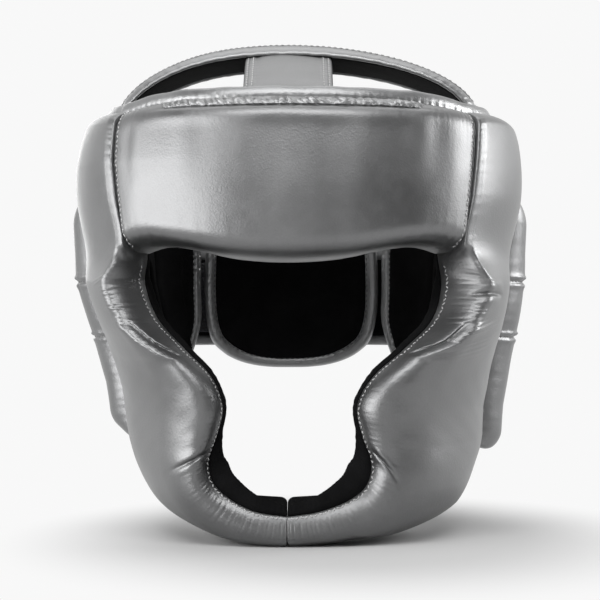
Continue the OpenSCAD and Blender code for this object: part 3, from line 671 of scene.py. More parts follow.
def eye_wrinkles(way, s, arc, across):
    """Fine wrinkles across the wall beside the eye, running out from the opening."""
    middle, reach, height = EYE_WRINKLES[way]
    out = reach + 7 * np.sin(arc / 3.1) + 4 * np.sin(arc / 1.3)
    eye = bump(s, middle, 0.075) * (1 - smooth(0.4 * out, out, across)) * smooth(0.3, 2.0, across)
    fan = arc + 0.35 * across * (s - 0.33) * 20
    return eye * (height * creases(fan, 3.1, 1.1 + way)
                  + 0.16 * creases(fan - 0.1 * across, 1.9, 0.4 + way))


def temple_fold(s, arc, across, z):
    """One deep fold across the left temple, with finer ones under it."""
    fold = 122.0 + 1.4 * np.sin(across / 9.0)
    span = smooth(1, 5, across) * (1 - smooth(18, 30, across))
    fine = smooth(8, 14, across) * (1 - smooth(34, 48, across)) * bump(s, 0.40, 0.045)
    return (span * (0.6 * bump(z, fold + 4.2, 2.6) + 0.5 * bump(z, fold - 4.0, 2.4)
                    - 1.9 * bump(z, fold, 1.2))
            + 0.4 * fine * creases(arc + 0.3 * across, 3.2, 0.2))


def mouth_tuck(way, arc, across):
    """A tuck at the corner of the mouth, with the leather puffed on both sides of it."""
    fade, start, slant = MOUTH_TUCK[way]
    off = arc - (start + slant * across)
    puff = 0.8 * bump(off, -5.0, 3.6) + 0.4 * bump(off, 4.4, 2.6)
    return (1 - smooth(*fade, across)) * (puff * smooth(0, 3, across)
                                          - 1.6 * bump(off, 0, 1.4) * smooth(0, 2, across))


def side_lean(way, s, u, h, thick):
    """How far the edge tucks under the forehead pad along their seam, and leans in beside
    the eye, at height h of the pad's thickness."""
    under = 1.5 * (1 - smooth(0.0, 0.05, u)) * (1 - smooth(0.205, 0.23, s))
    lean = smooth(0.21, 0.26, s) * (1 - smooth(0.36, 0.47, s)) * (1 - smooth(0.06, 0.42, u))
    return under * np.clip(h / 6.0, 0, 1) + lean * EYE_LEAN[way] * np.clip(h / thick, 0, 1) ** 1.4


def side_place(way):
    """The outer face of a side pad: its shape, with the folds of that side."""
    pad = side_pad()

    def place(a, b):
        s = np.interp(ends_close(a), *SIDE_GRID)
        u = ends_close(b)
        thick = pad_thick(pad, s)
        share = side_height(s, u)
        arc = s * SIDE_LENGTH
        across = u * SIDE_WIDTH
        face = smooth(0.0, 0.06, u) * smooth(0.0, 0.05, 1 - u)
        opening = smooth(0.245, 0.29, s)
        h = share * thick + cheek_crease(way, s, u) + mouth_tuck(way, arc, across)
        h += opening * opening_gathers(way, s, arc, across) + eye_wrinkles(way, s, arc, across)
        if way > 0:
            h += temple_fold(s, arc, across, through(pad[:, 0:1, 2:3], s).reshape(-1))
        # Folds and slow unevenness on the cheek
        h += 0.45 * face * lump(arc, across, 23.0, 0.5 * way)
        h += 0.22 * face * lump(arc * 1.5, across, 8.0, 1.3 * way) * bump(s, 0.55, 0.12)
        # Gathers along the rear edge, the seam with the forehead and the chin seam
        h += 0.35 * np.exp(-(SIDE_WIDTH - across) / 6.0) * ripple(arc, 5.3, 2.0)
        h += (0.22 * np.exp(-across / 5.0) * (1 - opening) * smooth(0, 2, across)
              * creases(arc, 3.0, 0.3))
        h += 0.3 * np.exp(-(SIDE_LENGTH - arc) / 6.0) * ripple(across, 6.0, 1.3 * way)
        p = pad_at(pad, s, u, np.maximum(h, 0.0) * (share > 0))
        inward = unit(pad_at(pad, s, 0 * u, 0 * s) - pad_at(pad, s, 0 * u + 0.05, 0 * s))
        p += inward * side_lean(way, s, u, h, thick)[:, None]
        p[:, 2] = np.maximum(p[:, 2], 0.0)
        return p

    return mirrored(place, way)


def cushion(name, pad, place, nx, ny, way=1, grid=EVEN_GRID):
    """A cover: place is its outer face, and its flat underside lies on the lining face."""
    def under(a, b):
        s = np.interp(ends_close(a), *grid)
        u = ends_close(b)
        inner = np.minimum(np.minimum(s, 1 - s) * 40, np.minimum(u, 1 - u) * 20)
        return pad_at(pad, s, u, -0.02 * np.clip(inner, 0, 1))

    return grid_object(name, nx, ny, place, mirrored(under, way))


def lining(name, pad, nx, ny, puff, width, length, way=1, rim=None):
    """The padded lining of a pad. rim gives places along the pad and how far the lining
    stands out there round the face opening."""
    def outer(a, b):
        s = ends_close(a)
        return pad_at(pad, s, ends_close(b), -0.3 - 0 * s)

    def inner(a, b):
        s, u = ends_close(a), ends_close(b)
        edge = np.minimum(u, 1 - u) * width
        end = np.minimum(s, 1 - s) * length
        h = roll(edge, 6.0) * roll(end, 4.0)
        soft = 0.35 * smooth(0, 8, edge) * smooth(0, 8, end)
        soft = soft * lump(s * length, u * width, 16.0, 0.8)
        p = pad_at(pad, s, u, -0.3 - (LINING_THICK + puff) * h + soft)
        if rim is not None:
            run = through(pad, s + 0.01)[:, 0] - through(pad, s - 0.01)[:, 0]
            n = unit(np.stack([run[:, 2], 0 * s, -run[:, 0]], 1))
            n *= np.where(n[:, :1] * p[:, :1] > 0, -1, 1)
            far = sum(np.interp(s + d, *rim) for d in (-0.012, 0, 0.012)) / 3
            far = far * roll(u, 0.07) * (1 - smooth(0.10, 0.55, u)) * roll(end, 3.0)
            far += 0.35 * (far > 0.5) * creases(s * length, 3.4, 0.4) * np.exp(-edge / 6.0)
            p += n * far[:, None]
        return p

    return grid_object(name, nx, ny, mirrored(outer, way), mirrored(inner, way))


def forehead_place(a, b):
    pad = forehead_pad()
    s, u = ends_close(a), ends_close(b)
    arc = s * FOREHEAD_LENGTH
    across = u * FOREHEAD_WIDTH
    edge = np.minimum(s, 1 - s)
    end = swell(0.97, edge, 0.03) * roll(edge * FOREHEAD_LENGTH, 0.8)
    h = soft_roll(u, 0.24) * soft_roll(1 - u, 0.17, 2.5) * end * pad_thick(pad, s)
    face = smooth(0.05, 0.25, u) * smooth(0.05, 0.25, 1 - u) * smooth(0.02, 0.10, edge)
    h += 0.45 * face * lump(arc, across, 30.0, 1.9)
    h += 0.5 * face * ripple(arc, 27.0, 0.4) * smooth(0.3, 0.8, 1 - u)
    # Gathers along the seam at the top edge and a soft roll under it
    h += 0.35 * np.exp(-across / 6.0) * creases(arc, 3.6, 0.9) * smooth(0.0, 2.0, across)
    h -= 0.8 * bump(u, 0.10, 0.010) * smooth(0.14, 0.3, edge)
    h += 0.8 * bump(u, 0.16, 0.05) * smooth(0.1, 0.3, edge)
    # Faint puckers beside the seams with the side pads and along the lower edge
    h += 0.25 * np.exp(-edge * FOREHEAD_LENGTH / 4.0) * ripple(across, 5.2, 2.2)
    h += 0.3 * np.exp(-(FOREHEAD_WIDTH - across) / 7.0) * ripple(arc, 9.0, 0.2)
    h -= 0.4 * bump(edge * FOREHEAD_LENGTH, 1.8, 0.5)
    return pad_at(pad, s, u, np.maximum(h, 0) * inside(s, u))


def guard_at(s, u, t):
    """Points of an ear guard. Its foot is moved forward until it meets the side pad."""
    p = pad_at(ear_guard(), s, u, t)
    p[:, 1] -= 1.8 * bump(p[:, 2], 64.0, 16.0)
    return p


def guard_place(a, b):
    s = mix(GUARD_FROM, GUARD_TO, ends_close(a))
    u = ends_close(b)
    arc = s * EAR_LENGTH
    across = u * GUARD_WIDTH
    cut = np.min([1 - 0.07 * bump(s, tuck, 0.006) for tuck, _ in EAR_TUCKS], axis=0)
    h = roll(u, 0.35) * roll(1 - u, 0.35) * roll(np.minimum(s - GUARD_FROM, GUARD_TO - s), 0.1)
    h = h * cut * pad_thick(ear_guard(), s)
    for tuck, seed in EAR_TUCKS:
        off = (s - tuck) * EAR_LENGTH
        h += 1.3 * bump(off, -1.7, 1.1) * (0.8 + 0.2 * ripple(across, 5.0, seed))
        h += 0.8 * bump(off, 1.9, 1.3) * (0.75 + 0.25 * ripple(across, 5.0, seed + 1))
        h += 0.4 * np.exp(-np.abs(off) / 7.0) * creases(across + 0.3 * off, 4.2, seed)
    h += 0.4 * lump(arc, across, 15.0, 2.7) * smooth(0.1, 0.3, u) * smooth(0.1, 0.3, 1 - u)
    h += 0.3 * np.exp(-np.minimum(across, GUARD_WIDTH - across) / 5.0) * ripple(arc, 4.8, 0.6)
    return guard_at(s, u, np.maximum(h, 0) * inside(a, u))


def guard_back(a, b):
    return guard_at(mix(GUARD_FROM, GUARD_TO, ends_close(a)), ends_close(b), 0 * a)


def panel_place(pad, length, width, reach_u, reach_s, low, seed):
    """The outer face of a plain pad. reach_u and reach_s are the shares of its width and
    length that its edges roll over, low its height share at the ends."""
    def place(a, b):
        s, u = ends_close(a), ends_close(b)
        edge = np.minimum(s, 1 - s)
        h = roll(np.minimum(u, 1 - u), reach_u) * swell(low, edge, reach_s)
        h = h * roll(edge * length, 2.5) * pad_thick(pad, s)
        rim = np.minimum(np.minimum(u, 1 - u) * width, edge * length)
        h += 0.35 * np.exp(-rim / 5.0) * ripple(s * length + u * width, 4.7, seed)
        h += 0.35 * lump(s * length, u * width, 17.0, seed) * smooth(3, 14, rim)
        return pad_at(pad, s, u, np.maximum(h, 0) * inside(s, u))
    return place


class HeadguardSewing(bpy.types.PropertyGroup):
    stitch_pitch: bpy.props.FloatProperty(
        name="Stitch pitch", description="Distance from one stitch to the next",
        default=0.0031, min=0.002, max=0.005, precision=4, unit="LENGTH")
    stitch_length: bpy.props.FloatProperty(
        name="Stitch length", description="Length of the thread that shows in one stitch",
        default=0.0022, min=0.001, max=0.004, precision=4, unit="LENGTH")
    thread_radius: bpy.props.FloatProperty(
        name="Thread radius", description="Radius of the sewing thread",
        default=0.0004, min=0.0002, max=0.0008, precision=5, unit="LENGTH")
    binding_thickness: bpy.props.FloatProperty(
        name="Binding thickness", description="Thickness of the folded top binding",
        default=0.0036, min=0.002, max=0.006, precision=4, unit="LENGTH")


class HeadguardLook(bpy.types.PropertyGroup):
    leather_colour: bpy.props.FloatVectorProperty(
        name="Leather", description="Colour of the silver synthetic leather",
        subtype="COLOR", size=3, min=0, max=1, default=(0.195, 0.1965, 0.1985))
    lining_colour: bpy.props.FloatVectorProperty(
        name="Lining", description="Colour of the suede-like lining",
        subtype="COLOR", size=3, min=0, max=1, default=(0.0045, 0.0045, 0.0048))
    thread_colour: bpy.props.FloatVectorProperty(
        name="Thread", description="Colour of the sewing thread",
        subtype="COLOR", size=3, min=0, max=1, default=(0.44, 0.44, 0.44))
    backdrop: bpy.props.FloatVectorProperty(
        name="Backdrop", description="Colour of the floor and of the backdrop",
        subtype="COLOR", size=3, min=0, max=1, default=(0.94, 0.94, 0.94))


class HEADGUARD_OT_forehead(bpy.types.Operator):
    """Forehead pad: crowned cover and soft lining"""
    bl_idname = "headguard.forehead"
    bl_label = "Forehead pad"

    def execute(self, context):
        pad = forehead_pad()
        cover = cushion("Forehead_cover", pad, forehead_place, 260, 110)
        soft = lining("Forehead_lining", pad, 120, 50, 0.6, FOREHEAD_WIDTH, FOREHEAD_LENGTH)
        settle_pad(cover, soft, "shell", "forehead")
        run = grid_at(np.linspace(0.03, 0.97, 90))
        for end, side in ((0.03, "left"), (0.97, "right")):
            thread_row("Forehead_stitches_" + side, forehead_place, grid_at(end), run, "shell",
                       slant=24, pitch=2.6)
        return {"FINISHED"}


class HEADGUARD_OT_sides(bpy.types.Operator):
    """Side pads: each from the temple down the cheek to the chin seam"""
    bl_idname = "headguard.sides"
    bl_label = "Side pads"

    def execute(self, context):
        pad = side_pad()
        run = grid_at(np.interp(np.linspace(0.24, 0.99, 300), *SIDE_GRID[::-1]))
        for way, side in SIDES:
            place = side_place(way)
            cover = cushion("Side_cover_" + side, pad, place, 480, 100, way, SIDE_GRID)
            soft = lining("Side_lining_" + side, pad, 220, 60, 0.8, SIDE_WIDTH, SIDE_LENGTH,
                          way, RIM)
            settle_pad(cover, soft, "shell", side + "_side")
            thread_row("Side_edge_stitches_" + side, place, run, grid_at(0.002), "shell",
                       slant=38, pitch=2.3)
        return {"FINISHED"}


class HEADGUARD_OT_ear_panels(bpy.types.Operator):
    """Ear panels, with the ear holes, under the ear guards"""
    bl_idname = "headguard.ear_panels"
    bl_label = "Ear panels"

    def execute(self, context):
        pad = ear_panel()
        place = panel_place(pad, EAR_LENGTH, EAR_WIDTH, reach_u=0.3, reach_s=0.1, low=0.5,
                            seed=0.9)
        for way, side in SIDES:
            cover = cushion("Ear_panel_cover_" + side, pad, mirrored(place, way), 150, 60, way)
            soft = lining("Ear_panel_lining_" + side, pad, 110, 40, 0.4, EAR_WIDTH, EAR_LENGTH,
                          way)
            for obj in (cover, soft):
                self.pierce(obj, way)
            settle_pad(cover, soft, "shell", side + "_ear_panel")
        return {"FINISHED"}

    def pierce(self, obj, way):
        """Cuts the upright round-ended ear hole, with a tool from x outward, in metres."""
        x, y, z, radius, stretch, depth = 0.04, 0.033, 0.122, 0.017, 0.009, 0.09
        bm = bmesh.new()
        bmesh.ops.create_circle(bm, segments=48, radius=radius,
                                matrix=Matrix.Translation((x * way, y, z))
                                @ Matrix.Rotation(math.pi / 2, 4, "Y"))
        for v in bm.verts:
            v.co.z += stretch * (1 if v.co.z > z else -1)
        face = bmesh.ops.contextual_create(bm, geom=bm.edges[:])["faces"]
        grown = bmesh.ops.extrude_face_region(bm, geom=face)["geom"]
        bmesh.ops.translate(bm, vec=(depth * way, 0, 0),
                            verts=[g for g in grown if isinstance(g, bmesh.types.BMVert)])
        bmesh.ops.recalc_face_normals(bm, faces=bm.faces)
        tool = new_object("Ear hole", bm)
        mod = obj.modifiers.new("Ear hole", "BOOLEAN")
        mod.operation = "DIFFERENCE"
        mod.solver = "EXACT"
        mod.object = tool
        bpy.context.view_layer.update()
        cut = bpy.data.meshes.new_from_object(
            obj.evaluated_get(bpy.context.evaluated_depsgraph_get()))
        obj.modifiers.clear()
        obj.data = cut
        bpy.data.objects.remove(tool)


class HEADGUARD_OT_ear_guards(bpy.types.Operator):
    """Ear guards: upright pads with two sewn tucks"""
    bl_idname = "headguard.ear_guards"
    bl_label = "Ear guards"

    def execute(self, context):
        run = np.linspace(0.2, 0.8, 60)
        for way, side in SIDES:
            place, name = mirrored(guard_place, way), side + "_ear_guard"
            guard = grid_object("Ear_guard_cover_" + side, 240, 80, place,
                                mirrored(guard_back, way))
            settle(guard, "shell", [name + "_cover", name + "_foam"])
            for k, (tuck, _) in enumerate(EAR_TUCKS):
                share = (tuck - GUARD_FROM) / (GUARD_TO - GUARD_FROM)
                # The stitches in the tucks are painted darker: painted shade
                thread_row(f"Ear_guard_tuck_stitches_{side}_{k}", place, grid_at(share), run,
                           "shell", finish="shaded_thread")
        return {"FINISHED"}


class HEADGUARD_OT_top_edge(bpy.types.Operator):
    """Folded binding along the top edge of the shell"""
    bl_idname = "headguard.top_edge"
    bl_label = "Top binding"

    def execute(self, context):
        fore, side = forehead_pad(), side_pad()
        half = [pad_point(fore, s, 0.02, FOREHEAD_THICK * roll(0.02, 0.18) * 0.9)
                for s in (0.5, 0.42, 0.34, 0.26, 0.18, 0.1)]
        half += [pad_point(side, 0.0, u, 28 * mix(0.45, 0.64, min(1, u * 3)))
                 for u in (0.06, 0.16, 0.28, 0.42, 0.58, 0.74, 0.88)]
        half = np.array(half)
        # It stands on the edge, and lies lower along the sides, under the crown's feet
        line = np.r_[half[:0:-1] * [-1, 1, 1], half] + [0, 0, 4.6]
        line[:, 2] -= 6.0 * smooth(74, 100, np.abs(line[:, 0]))
        self.binding(line)
        self.sew(line)
        self.gathers(fore)
        return {"FINISHED"}

    def binding(self, line):
        """A folded strip with soft corners, pinched at its seam."""
        nx, ny, high, power = 520, 28, 9.2, 2.6
        wide = bpy.context.scene.headguard_sewing.binding_thickness / MM
        ups = unit(np.stack([-0.4 * line[:, 0] / 110, np.clip(-line[:, 1], -60, 90) / 90 * 0.45,
                             np.ones(len(line))], 1))
        line, up = resample(line, nx + 1), resample(ups, nx + 1)
        tan = path_frames(line)
        side = unit(np.cross(tan, up))
        up = np.cross(side, tan)
        length = distances(line)

        def place(a, b):
            i = nearest(a, nx)
            c, d = circle(b % 1.0)
            x = np.sign(c) * np.abs(c) ** (2 / power) * wide / 2
            y = np.sign(d) * np.abs(d) ** (2 / power) * high / 2
            y = y + 0.35 * ripple(length[i], 23.0, 0.3)
            x = x * (1 - 0.45 * bump(y, -2.4, 1.0))
            x = x + 0.35 * ripple(length[i], 4.1, 1.2) * smooth(1.0, -4.0, y)
            return line[i] + side[i] * x[:, None] + up[i] * y[:, None]

        # The binding wears the lit copy of the leather: painted light
        settle(grid_object("Top_binding", nx, ny, place), "shell", ["top_binding"], "binding")

    def sew(self, line):
        pts = resample(line, 500)
        out = unit(np.cross(path_frames(pts), [0, 0, 1.0]))
        out = out * np.sign(np.sum(out * pts, axis=1, keepdims=True))
        sew_row("Top_binding_stitches", pts + out * 1.25 - [0, 0, 2.5], out, "shell")

    def gathers(self, pad):
        """The loose fold of leather between the binding and the forehead pad."""
        nx, ny = 300, 16

        def spot(a, b):
            s, u = 0.16 + 0.68 * a, 0.01 + 0.085 * b
            return s, u, FOREHEAD_THICK * soft_roll(u, 0.24)

        def place(a, b):
            s, u, t = spot(a, b)
            arc = s * FOREHEAD_LENGTH
            t += np.sin(np.pi * b) * (1.3 + 1.1 * creases(arc + 5 * b, 3.8, 0.6))
            t += 0.4 * ripple(arc + 9 * b, 3.3, 1.4)
            t *= smooth(0, 0.10, a) * smooth(0, 0.10, 1 - a) * 0.18 + 0.82
            return pad_at(pad, s, u, t)

        def under(a, b):
            s, u, t = spot(a, b)
            return np.where(inside(a, b)[:, None] > 0, pad_at(pad, s, u, t - 2.5), place(a, b))

        fold = grid_object("Forehead_top_fold", nx, ny, place, under)
        row = nx + 1
        held = [i for i in range(len(fold.data.vertices))
                if i >= row * (ny + 1) or i // row in (0, ny) or i % row in (0, nx)]
        loosen(fold, held, spare=0.05, reach=0.0022)
        # The fold wears the lit copy of the leather: painted light
        settle(fold, "shell", finish="binding")


# Crown arch: y of its front edge, half its span, z of its feet and its rise above them
CROWN_FRONT, CROWN_HALF, CROWN_FOOT, CROWN_RISE = -27.0, 98, 217.5, 39


def crown_point(a, y, drop):
    """Points on the crown arch: a in degrees from the right foot, drop below its top."""
    r = np.radians(a)
    return np.stack([-(CROWN_HALF - drop) * np.cos(r), np.broadcast_to(y, r.shape),
                     CROWN_FOOT + (CROWN_RISE - drop) * np.sin(r)], -1)


def crown_rear(a):
    """y of the band's rear edge, which is widest at the top."""
    return 33 - 12 * (1 - np.sin(np.radians(a)))


class HEADGUARD_OT_crown(bpy.types.Operator):
    """Crown band: leather over foam, black lining and rolled edges"""
    bl_idname = "headguard.crown"
    bl_label = "Crown band"

    def execute(self, context):
        cover = self.layer("Top_band_cover", 200, 44, top=0.0, low=4.4)
        soft = self.layer("Top_band_lining", 160, 40, top=4.5, low=6.1)
        settle_pad(cover, soft, "shell", "crown")
        self.edge("Top_band_front_binding", lambda a: CROWN_FRONT - 0.1 + 0 * a, -1,
                  "crown_front_binding")
        self.edge("Top_band_rear_binding", lambda a: crown_rear(a) + 0.1, 1,
                  "crown_rear_binding")
        return {"FINISHED"}

    def layer(self, name, nx, ny, top, low):
        """One layer of the band, between two drops."""
        def at(drop):
            def place(a, b):
                angle = a * 180
                rim = np.minimum(b, 1 - b) * 60
                soft = 0.25 * lump(angle * 1.6, b * 60, 14.0, 1.1) * smooth(0, 8, rim)
                drops = mix((top + low) / 2, drop, inside(a, b) * roll(rim, 1.5)) - soft
                return crown_point(angle, mix(CROWN_FRONT, crown_rear(angle), b), drops)
            return place
        return grid_object(name, nx, ny, at(top), at(low))

    def edge(self, name, where, way, node):
        """A rolled edge and its stitches. where(angle) is the band's edge, and way the side
        of it that the roll lies on."""
        def place(a, b):
            angle = a * 180
            c, d = circle(b)
            y = where(angle) + way * (2.6 + 3.3 * c * np.where(c > 0, 1.0, 0.8) - 2.9 * d)
            drop = 3.6 - 2.9 * d + 0.12 * ripple(angle * 1.45, 8.0, 0.5) * (1 + c)
            return crown_point(angle, y, drop - 0.35 * bump((b - 0.72) % 1.0, 0.0, 0.03))

        # The rolled edge wears the lit copy of the leather: painted light
        settle(grid_object(name, 260, 24, place), "shell", [node], "binding")
        angle = np.linspace(3, 177, 300)
        r = np.radians(angle)
        sew_row(name + "_stitches", crown_point(angle, where(angle) - way * 1.8, 0.0),
                np.stack([-np.cos(r), 0 * r, np.sin(r)], 1), "shell")


STRAP_WIDE, STRAP_THICK = 46, 2.4
# How much closer the grid of a strap is at its edges
STRAP_CLOSE = 0.6


def edge_rows(name, place, half, rim, count, sides, body):
    """Rows of stitches along both edges of a strap, rim from the edge."""
    for way, side in sides:
        thread_row(name + side, place, np.linspace(0.02, 0.98, count),
                   grid_at(0.5 + 0.5 * way * (1 - rim / half), STRAP_CLOSE), body)


def flat_strap(name, path, body, node, arch):
    """A leather strap with turned and twice stitched edges. path is its lower face, and arch
    how far its edges bend down."""
    steps, rims = 120, (1.9, 4.6)
    half = STRAP_WIDE / 2
    line = resample(path, steps + 1)
    across = np.array([1.0, 0, 0])
    up = np.cross(across, path_frames(line))
    length = distances(line)[-1]

    def at(a, x, t):
        i = a * steps
        k = np.clip(np.floor(i).astype(int), 0, steps - 1)
        f = (i - k)[:, None]
        n = unit(mix(up[k], up[k + 1], f))
        return (mix(line[k], line[k + 1], f) + n * (t - arch * x * x)[:, None]
                + across * (x * half)[:, None])

    def over(a, b):
        x = 2 * ends_close(b, STRAP_CLOSE) - 1
        rim = (1 - np.abs(x)) * half
        edge = roll(rim, 1.2)
        t = STRAP_THICK * 0.5 * (1 + edge) + 0.45 * (1 - smooth(5.0, 6.2, rim)) * edge
        t -= sum(0.35 * bump(rim, row, 0.5) for row in rims)
        t += 0.18 * ripple(a * length, 5.0, 0.8) * np.exp(-rim / 5.0) * smooth(0.3, 1.5, rim)
        t += 0.3 * lump(a * length, x * half, 13.0, 0.2) * smooth(6, 10, rim)
        return at(a, x, t)

    def under(a, b):
        x = 2 * ends_close(b, STRAP_CLOSE) - 1
        return at(a, x, STRAP_THICK * 0.5 * (1 - roll((1 - np.abs(x)) * half, 1.2)))

    settle(grid_object(name, 160, 70, over, under), body, [node])
    for k, rim in enumerate(rims):
        edge_rows(f"{name}_stitches_{k}_", over, half, rim, 150, SIDES[::-1], body)


class HEADGUARD_OT_straps(bpy.types.Operator):
    """Top strap, from the forehead to the crown band"""
    bl_idname = "headguard.straps"
    bl_label = "Top strap"

    def execute(self, context):
        path = [[0, *pad_point(forehead_pad(), 0.5, u, -5.5)[1:]] for u in (0.12, 0.02)]
        path += [[0, -80, 222], [0, -72, 229.5], [0, -58, 237.0], [0, -44, 244.0],
                 [0, -32, 248.2], [0, -20, 249.6], [0, 10, 249.6], [0, 31, 249.0]]
        flat_strap("Top_strap", path, "shell", "top_strap", arch=2.6)
        return {"FINISHED"}


def border_strip(name, pad, border, inner_pad, inner_border, body, node, way=1, count=420):
    """A rolled leather strip round a pad's border on its lining face. The borders are places
    on the pads that its outer and its inner edge follow."""
    high, overhang, sewn_at = 3.2, 0.10, 0.80
    outer, inner = (resample([pad_point(on, s, u, -0.3) for s, u in places], count + 1)
                    for on, places in ((pad, border), (inner_pad, inner_border)))
    span = inner - outer
    nrm = unit(np.cross(path_frames(outer), span))
    length = distances(outer)
    middle = through(pad, np.array([0.5]))[0]
    nrm *= -np.sign(np.sum(nrm * (middle[1] + middle[3]), axis=1, keepdims=True))

    def place(a, b):
        i = nearest(a, count)
        c, d = circle(b)
        across = 0.5 - 0.5 * c
        rise = high * np.where(d > 0, np.abs(d) ** 0.6, -0.1 * np.abs(d))
        seam = 0.12 * ripple(length[i], 4.5, 0.4) - 0.7 * bump(across, sewn_at, 0.05)
        rise = rise + seam * (d > 0)
        across = across * (1 + overhang) - overhang
        return outer[i] + span[i] * across[:, None] + nrm[i] * rise[:, None]

    # The strip wears the lit copy of the leather: painted light on a binding that sits in shade
    settle(grid_object(name, count, 22, mirrored(place, way)), body, [node], "lit_piping")
    i = np.clip((np.linspace(0.004, 0.996, 400) * count).astype(int), 0, count)
    flip = [way, 1, 1]
    # The stitches in the tape's sewn groove are painted darker: painted shade
    sew_row(name + "_stitches", (outer[i] + span[i] * sewn_at + nrm[i] * 2.35) * flip,
            nrm[i] * flip, body, "shaded_thread")


class HEADGUARD_OT_back(bpy.types.Operator):
    """Back pad with its binding, and the strap that carries it"""
    bl_idname = "headguard.back"
    bl_label = "Back pad"

    def execute(self, context):
        pad = back_pad()
        place = panel_place(pad, length=190, width=95, reach_u=0.25, reach_s=0.04, low=0.55,
                            seed=1.6)
        cover = cushion("Back_pad_cover", pad, place, 220, 110)
        soft = lining("Back_pad_lining", back_pad(inset=5.0), 140, 80, puff=0.9, width=85,
                      length=180)
        settle_pad(cover, soft, "back_pad", "back_pad")
        border = [(s, 0.0) for s in np.arange(0.02, 0.96, 0.035)]
        border += [(0.98, 0.0), (1, 0.12), (1, 0.88), (0.98, 1.0)]
        border += [(s, 1.0) for s in np.arange(0.945, 0.0, -0.035)]
        border_strip("Back_pad_binding", pad, border, back_pad(inset=6.0), border, "back_pad",
                     "back_pad_binding")
        path = [[0, 36, 247.4], [0, 50, 245.0], [0, 65, 241.3]]
        path += [[0, *pad_point(pad, s, 0.5, BACK_THICK + 3.4)[1:]]
                 for s in (0.04, 0.08, 0.12, 0.16, 0.2)]
        flat_strap("Back_strap", path, "back_pad", "back_strap", arch=1.8)
        self.tape(pad, path)
        return {"FINISHED"}

    def tape(self, pad, path):
        """Hook and loop tape between the strap and the pad."""
        def loop(a, b, lift):
            return pad_at(pad, 0.09 + 0.15 * a, 0.32 + 0.36 * b, BACK_THICK + 0.6 + lift)

        line = resample(path, 80)[50:]
        last = len(line) - 1
        across = np.array([1.0, 0, 0])
        up = np.cross(across, path_frames(line))

        def hook(a, b, lift):
            i = nearest(a, last)
            x = 2 * b - 1
            return (line[i] + up[i] * (lift - 0.75 - 1.2 * x * x)[:, None]
                    + across * (x * 19)[:, None])

        settle(patch("Back_pad_loop_tape", 30, 30, loop, high=0.7, low=-0.5), "back_pad",
               ["back_pad_loop_patch"], "loop")
        settle(patch("Back_strap_hook_tape", last, 24, hook, high=0.4, low=-0.5), "back_pad",
               ["back_strap_hook_patch"], "hook")


class HEADGUARD_OT_wings(bpy.types.Operator):
    """Rear wings that the closing strap joins"""
    bl_idname = "headguard.wings"
    bl_label = "Rear wings"

    def execute(self, context):
        pad = wing()
        place = panel_place(pad, length=76, width=42, reach_u=0.3, reach_s=0.12, low=0.5,
                            seed=2.3)
        # The lining ends short of the wing's free end, where the binding lies
        cut = pad.copy()
        cut[:, 2] = mix(pad[:, 0], pad[:, 2], 0.86)
        edge = [(0, 0.12), (0, 0.45), (0, 0.75), (0, 0.97), (0.03, 1), (0.25, 1), (0.5, 1),
                (0.75, 1), (0.97, 1), (1, 0.97), (1, 0.75), (1, 0.45), (1, 0.12)]
        inner_edge = [(min(max(s, 0.08), 0.92), min(u, 0.855)) for s, u in edge]
        for way, side in SIDES:
            body = side + "_wing"
            cover = cushion("Wing_cover_" + side, pad, mirrored(place, way), 90, 60, way)
            soft = lining("Wing_lining_" + side, cut, 70, 40, puff=0.5, width=40, length=76,
                          way=way)
            settle_pad(cover, soft, body, body)
            border_strip("Wing_binding_" + side, pad, edge, pad, inner_edge, body,
                         body + "_binding", way, 260)

        def loop(a, b, lift):
            u = 0.34 + 0.46 * b
            h = 15 * roll(np.minimum(u, 1 - u), 0.3)
            return pad_at(pad, 0.24 + 0.52 * a, u, h + 0.5 + lift) * [-1, 1, 1]

        settle(patch("Wing_loop_tape", 40, 24, loop, high=0.6, low=-0.4), "right_wing",
               ["right_wing_loop_patch"], "loop")
        return {"FINISHED"}


# Rear strap: height of its middle, half its width, x of its root and of its free end, and
# how far its stitch rows lie from its edges
REAR_STRAP_Z, REAR_STRAP_HALF = 121.5, 29
REAR_STRAP_ROOT, REAR_STRAP_END = 90.0, -92.0
REAR_STRAP_ROWS = (2.4, 5.2)


def rear_y(x):
    """How far the rear strap stands behind the origin at x."""
    return 117 * np.clip(1 - (np.abs(x) / 109) ** 2.5, 0, None) ** 0.4


def rear_at(x, z, off):
    """Points on the rear strap, off its middle. Its root bends inward to the left wing."""
    slope = (rear_y(x + 1) - rear_y(x - 1)) / 2
    n = unit(np.stack([-slope, np.ones_like(x), 0 * x], -1))
    drop = np.clip(x - 62, 0, None) / 22 * 3.7
    return np.stack([x, rear_y(x), REAR_STRAP_Z + z], -1) + n * (off - drop)[:, None]


def strap_span(root):
    """About how long a layer of the rear strap is, from x root to its end."""
    return (root - REAR_STRAP_END) * 1.25


def strap_bend():
    """Where the rear strap folds, between its sewn root on the left wing and its free length: the
    two bodies there and two points on the strap, in metres.
    """
    ends = [tuple(c * MM for c in (x, float(rear_y(x)), REAR_STRAP_Z)) for x in (87.5, 73.0)]
    return ("left_wing", "rear_strap", *ends)


